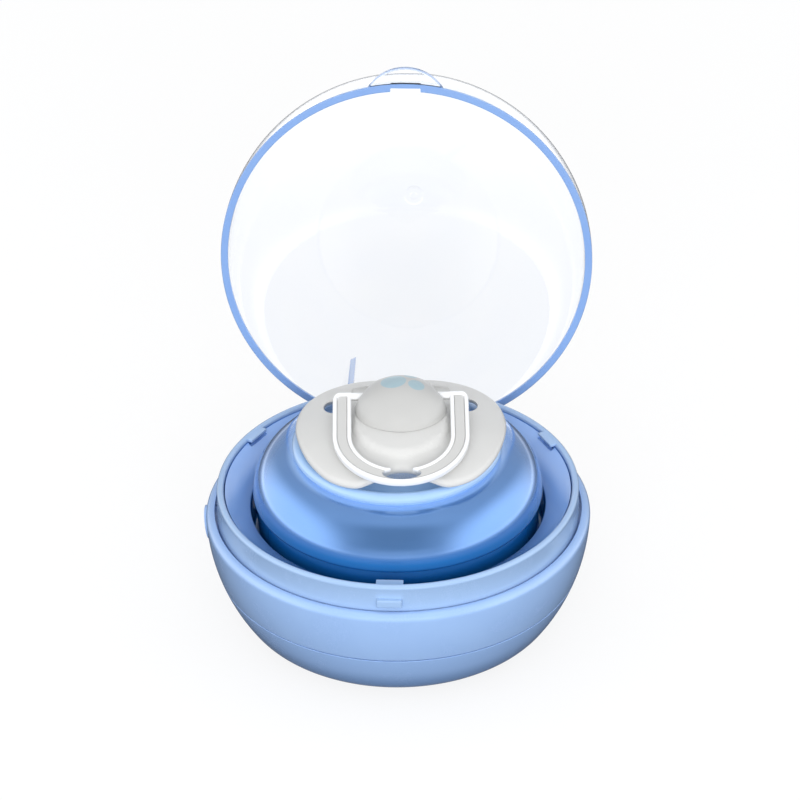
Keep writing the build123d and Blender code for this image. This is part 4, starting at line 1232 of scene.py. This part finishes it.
section = band_section()
band_rings = []
for middle, out in band_path():
    band_rings.append([
        Vector((middle.x + out.x * across, middle.y + out.y * across, up)) * MM
        for across, up in section
    ])
ends = [sum(ring, Vector()) / len(ring) for ring in (band_rings[0], band_rings[-1])]
pull = ring_mesh("pull_ring", [ends[0], *band_rings, ends[1]], pull_plastic())
GRIP, GRIP_BAR = (4.3, 1.9), 1.0
turns = [2 * math.pi * k / 64 for k in range(64)]
grip_y = BEND - OUTER + GRIP_BAR + GRIP[1]
grip = [(GRIP[0] * math.cos(t), grip_y + GRIP[1] * math.sin(t)) for t in turns]
grip_levels = ((3, 1.2, 0), (1, 1.06, 0), (0.7, 1, 0), (-0.7, 1, 0), (-1, 1.06, 0), (-3, 1.2, 0))
carve(pull, [flared(grip, (0, grip_y), grip_levels)])
for side in (-1, 1):
    for radius, near, far in ((HALF, INNER, OUTER), (PIVOT_PIN, 6.2, INNER + 1)):
        carve(pull, [rod(radius, *sorted((side * near, side * far)), (0, 0), "X", 48)], "UNION")
CORNER = 3.2
corner_at = (OUTER - CORNER, HALF - CORNER)
for side in (-1, 1):
    waste = block(sorted((side * corner_at[0], side * (OUTER + 1))), (corner_at[1], 3), (-2, 2))
    carve(waste, [rod(CORNER, -3, 3, (side * corner_at[0], corner_at[1]), steps=128)])
    carve(pull, [waste])
# painted highlight: the attribute marks the tops of the beads, which the finish paints near white
bead = pull.data.attributes.new("bead", "FLOAT", "POINT")
for vert in pull.data.vertices:
    x, y, z = abs(vert.co.x) / MM, vert.co.y / MM, vert.co.z / MM
    # how far out the point lies on the band, measured round the bend and round the corner
    out = (math.hypot(x, y - BEND) if y < BEND else x) - band_middle
    if x > corner_at[0] and y > corner_at[1]:
        out = math.hypot(x - corner_at[0], y - corner_at[1]) - CORNER + band_half
    low_end = -1.1 if out > 0 else -0.2
    on_top = min(max((z - low_end) / 0.5, 0), 1)
    on_edge = min(max((abs(out) - band_half + 1.05) / 0.25, 0), 1)
    bead.data[vert.index].value = on_edge * on_top
pull.data.transform(ring_place)
settle(pull, "ring", "pacifier_ring")

# %% [markdown]
# The stage is a plain pale floor that goes on to the horizon. To the camera, and in reflections,
# a little light of its own lifts it to the white of a product photograph, and the shadow under
# the case stays. From below the floor is clear, and it glows a little under the foot, so the
# underside can be looked at.


# %% Floor
RAYS = ("Is Camera Ray", "Is Transmission Ray", "Is Glossy Ray")


def pale_floor():
    bench = Bench("pale_floor")
    camera_ray, through_ray, glossy_ray = bench.outputs("ShaderNodeLightPath", RAYS)
    seen = bench.maths("MINIMUM", camera_ray + through_ray, 1.0)
    x, y, _ = bench.split(bench.place())
    away = bench.maths("SQRT", x * x + y * y)
    beside = bench.smooth(bench.maths("ABSOLUTE", x) / away, 0.45, 0.85)
    mirrored = glossy_ray * bench.smooth(away, 0.12, 0.6)
    under = (1 - bench.smooth(away, 0.028, 0.038)) * (1 - seen)
    glowing = seen * 0.82 + mirrored * (0.8 + beside * 1.2) + under * 0.6
    paint = bench.node(
        "ShaderNodeBsdfDiffuse",
        {},
        {"Color": bench.tint(seen, (0.11, 0.12, 0.14, 1), (0.18, 0.18, 0.18, 1))},
    )
    glow = bench.node("ShaderNodeEmission", {}, {"Color": (1, 1, 1, 1), "Strength": glowing})
    both = bench.node("ShaderNodeAddShader", {}, {0: paint, 1: glow})
    back = bench.node("ShaderNodeNewGeometry", out="Backfacing")
    clear = bench.node("ShaderNodeBsdfTransparent")
    return bench.output(bench.node("ShaderNodeMixShader", {}, {0: back, 1: both, 2: clear}))


floor_mesh = bpy.data.meshes.new("floor")
FAR = 30.0
corners = [(-FAR, -FAR, 0), (FAR, -FAR, 0), (FAR, FAR, 0), (-FAR, FAR, 0)]
floor_mesh.from_pydata(corners, [], [(0, 1, 2, 3)])
floor = show("floor", floor_mesh)
floor.data.materials.append(pale_floor())
print("the floor reaches", FAR, "m to each side")

# %% [markdown]
# The light is a tent: bright cloth at both sides and above, and a dark opening in front, where
# the photographer stands. It is drawn straight onto the sky as a smooth gradient, so reflections
# on the glossy holder fade softly, and its front shows the dark band that the opening makes.

# %% The light tent
world = bpy.data.worlds.new("studio")
bpy.context.scene.world = world
world.use_nodes = True
bench = Bench("studio", world.node_tree)
x, y, z = bench.split(bench.node("ShaderNodeTexCoord", out="Generated"))
aside = bench.maths("ABSOLUTE", x)
sides = bench.smooth(aside, 0.5, 0.9)
above = bench.smooth(z, 0.35, 0.95)
middle = bench.smooth(0.75 - aside, 0.0, 0.6)
opening = bench.smooth(0 - y, 0.05, 0.45) * bench.smooth(z, 0.1, 0.35) * middle
cloth = 0.78 + above * 0.12 + sides * 0.1
mirrored = 0.56 + sides * 1.3 + above * 0.1 - opening * 0.53
camera_ray, through_ray, glossy_ray = bench.outputs("ShaderNodeLightPath", RAYS)
strength = bench.maths("MAXIMUM", cloth * (1 - glossy_ray) + mirrored * glossy_ray, 0.03)
tent = bench.node(
    "ShaderNodeBackground", {}, {"Color": (0.97, 0.98, 1, 1), "Strength": strength}
)
white = bench.node("ShaderNodeBackground", {}, {"Color": (1, 1, 1, 1), "Strength": 1.0})
mixed = bench.node("ShaderNodeMixShader", {}, {0: camera_ray + through_ray, 1: tent, 2: white})
bench.node("ShaderNodeOutputWorld", {}, {"Surface": mixed})
print("the tent has", len(bench.tree.nodes), "nodes")

# %% [markdown]
# One soft lamp in front and a little above gives the pieces their shape. Reflections don't show
# it, so the glossy holder mirrors only the tent.

# %% One soft lamp in front
light = bpy.data.lights.new("lamp_front", "AREA")
light.shape, light.size, light.size_y, light.energy = "RECTANGLE", 1.0, 0.7, 12.0
lamp, aim = show("lamp_front", light), Vector((0, 0, 0.03))
lamp.location = (0.06, -1.15, 0.42)
lamp.rotation_euler = (aim - lamp.location).to_track_quat("-Z", "Y").to_euler()
lamp.visible_glossy = lamp.visible_transmission = False
print("the lamp stands", round(lamp.location.length, 2), "m away")

# %% [markdown]
# The camera stands where the photograph was taken from: 800 mm away, 32.4 degrees above level
# and 3 degrees to the right, with a long lens and a slight roll.

# %% Camera
azimuth, height, roll = [math.radians(a) for a in (2.98, 32.39, -0.75)]
DISTANCE, FOCAL_PIXELS, PICTURE_WIDTH = 0.8, 3559.64, 800
back = Vector((math.sin(azimuth) * math.cos(height), -math.cos(azimuth) * math.cos(height),
               math.sin(height)))
flat_right = Vector((math.cos(azimuth), math.sin(azimuth), 0))
flat_up = back.cross(flat_right)
right = math.cos(roll) * flat_right + math.sin(roll) * flat_up
up = math.cos(roll) * flat_up - math.sin(roll) * flat_right
target = Vector((0, 0, 56.26 * MM)) + flat_right * 0.76 * MM
camera = show("camera", bpy.data.cameras.new("camera"))
camera.data.sensor_width = 36
camera.data.lens = FOCAL_PIXELS * camera.data.sensor_width / PICTURE_WIDTH
camera.data.clip_start, camera.data.clip_end = 0.01, 100
camera.matrix_world = Matrix.Translation(target + back * DISTANCE) @ Matrix(
    (right, up, back)
).transposed().to_4x4()
bpy.context.scene.camera = camera
bpy.context.scene.view_settings.view_transform = "Standard"
print("the lens is", round(camera.data.lens, 1), "mm")
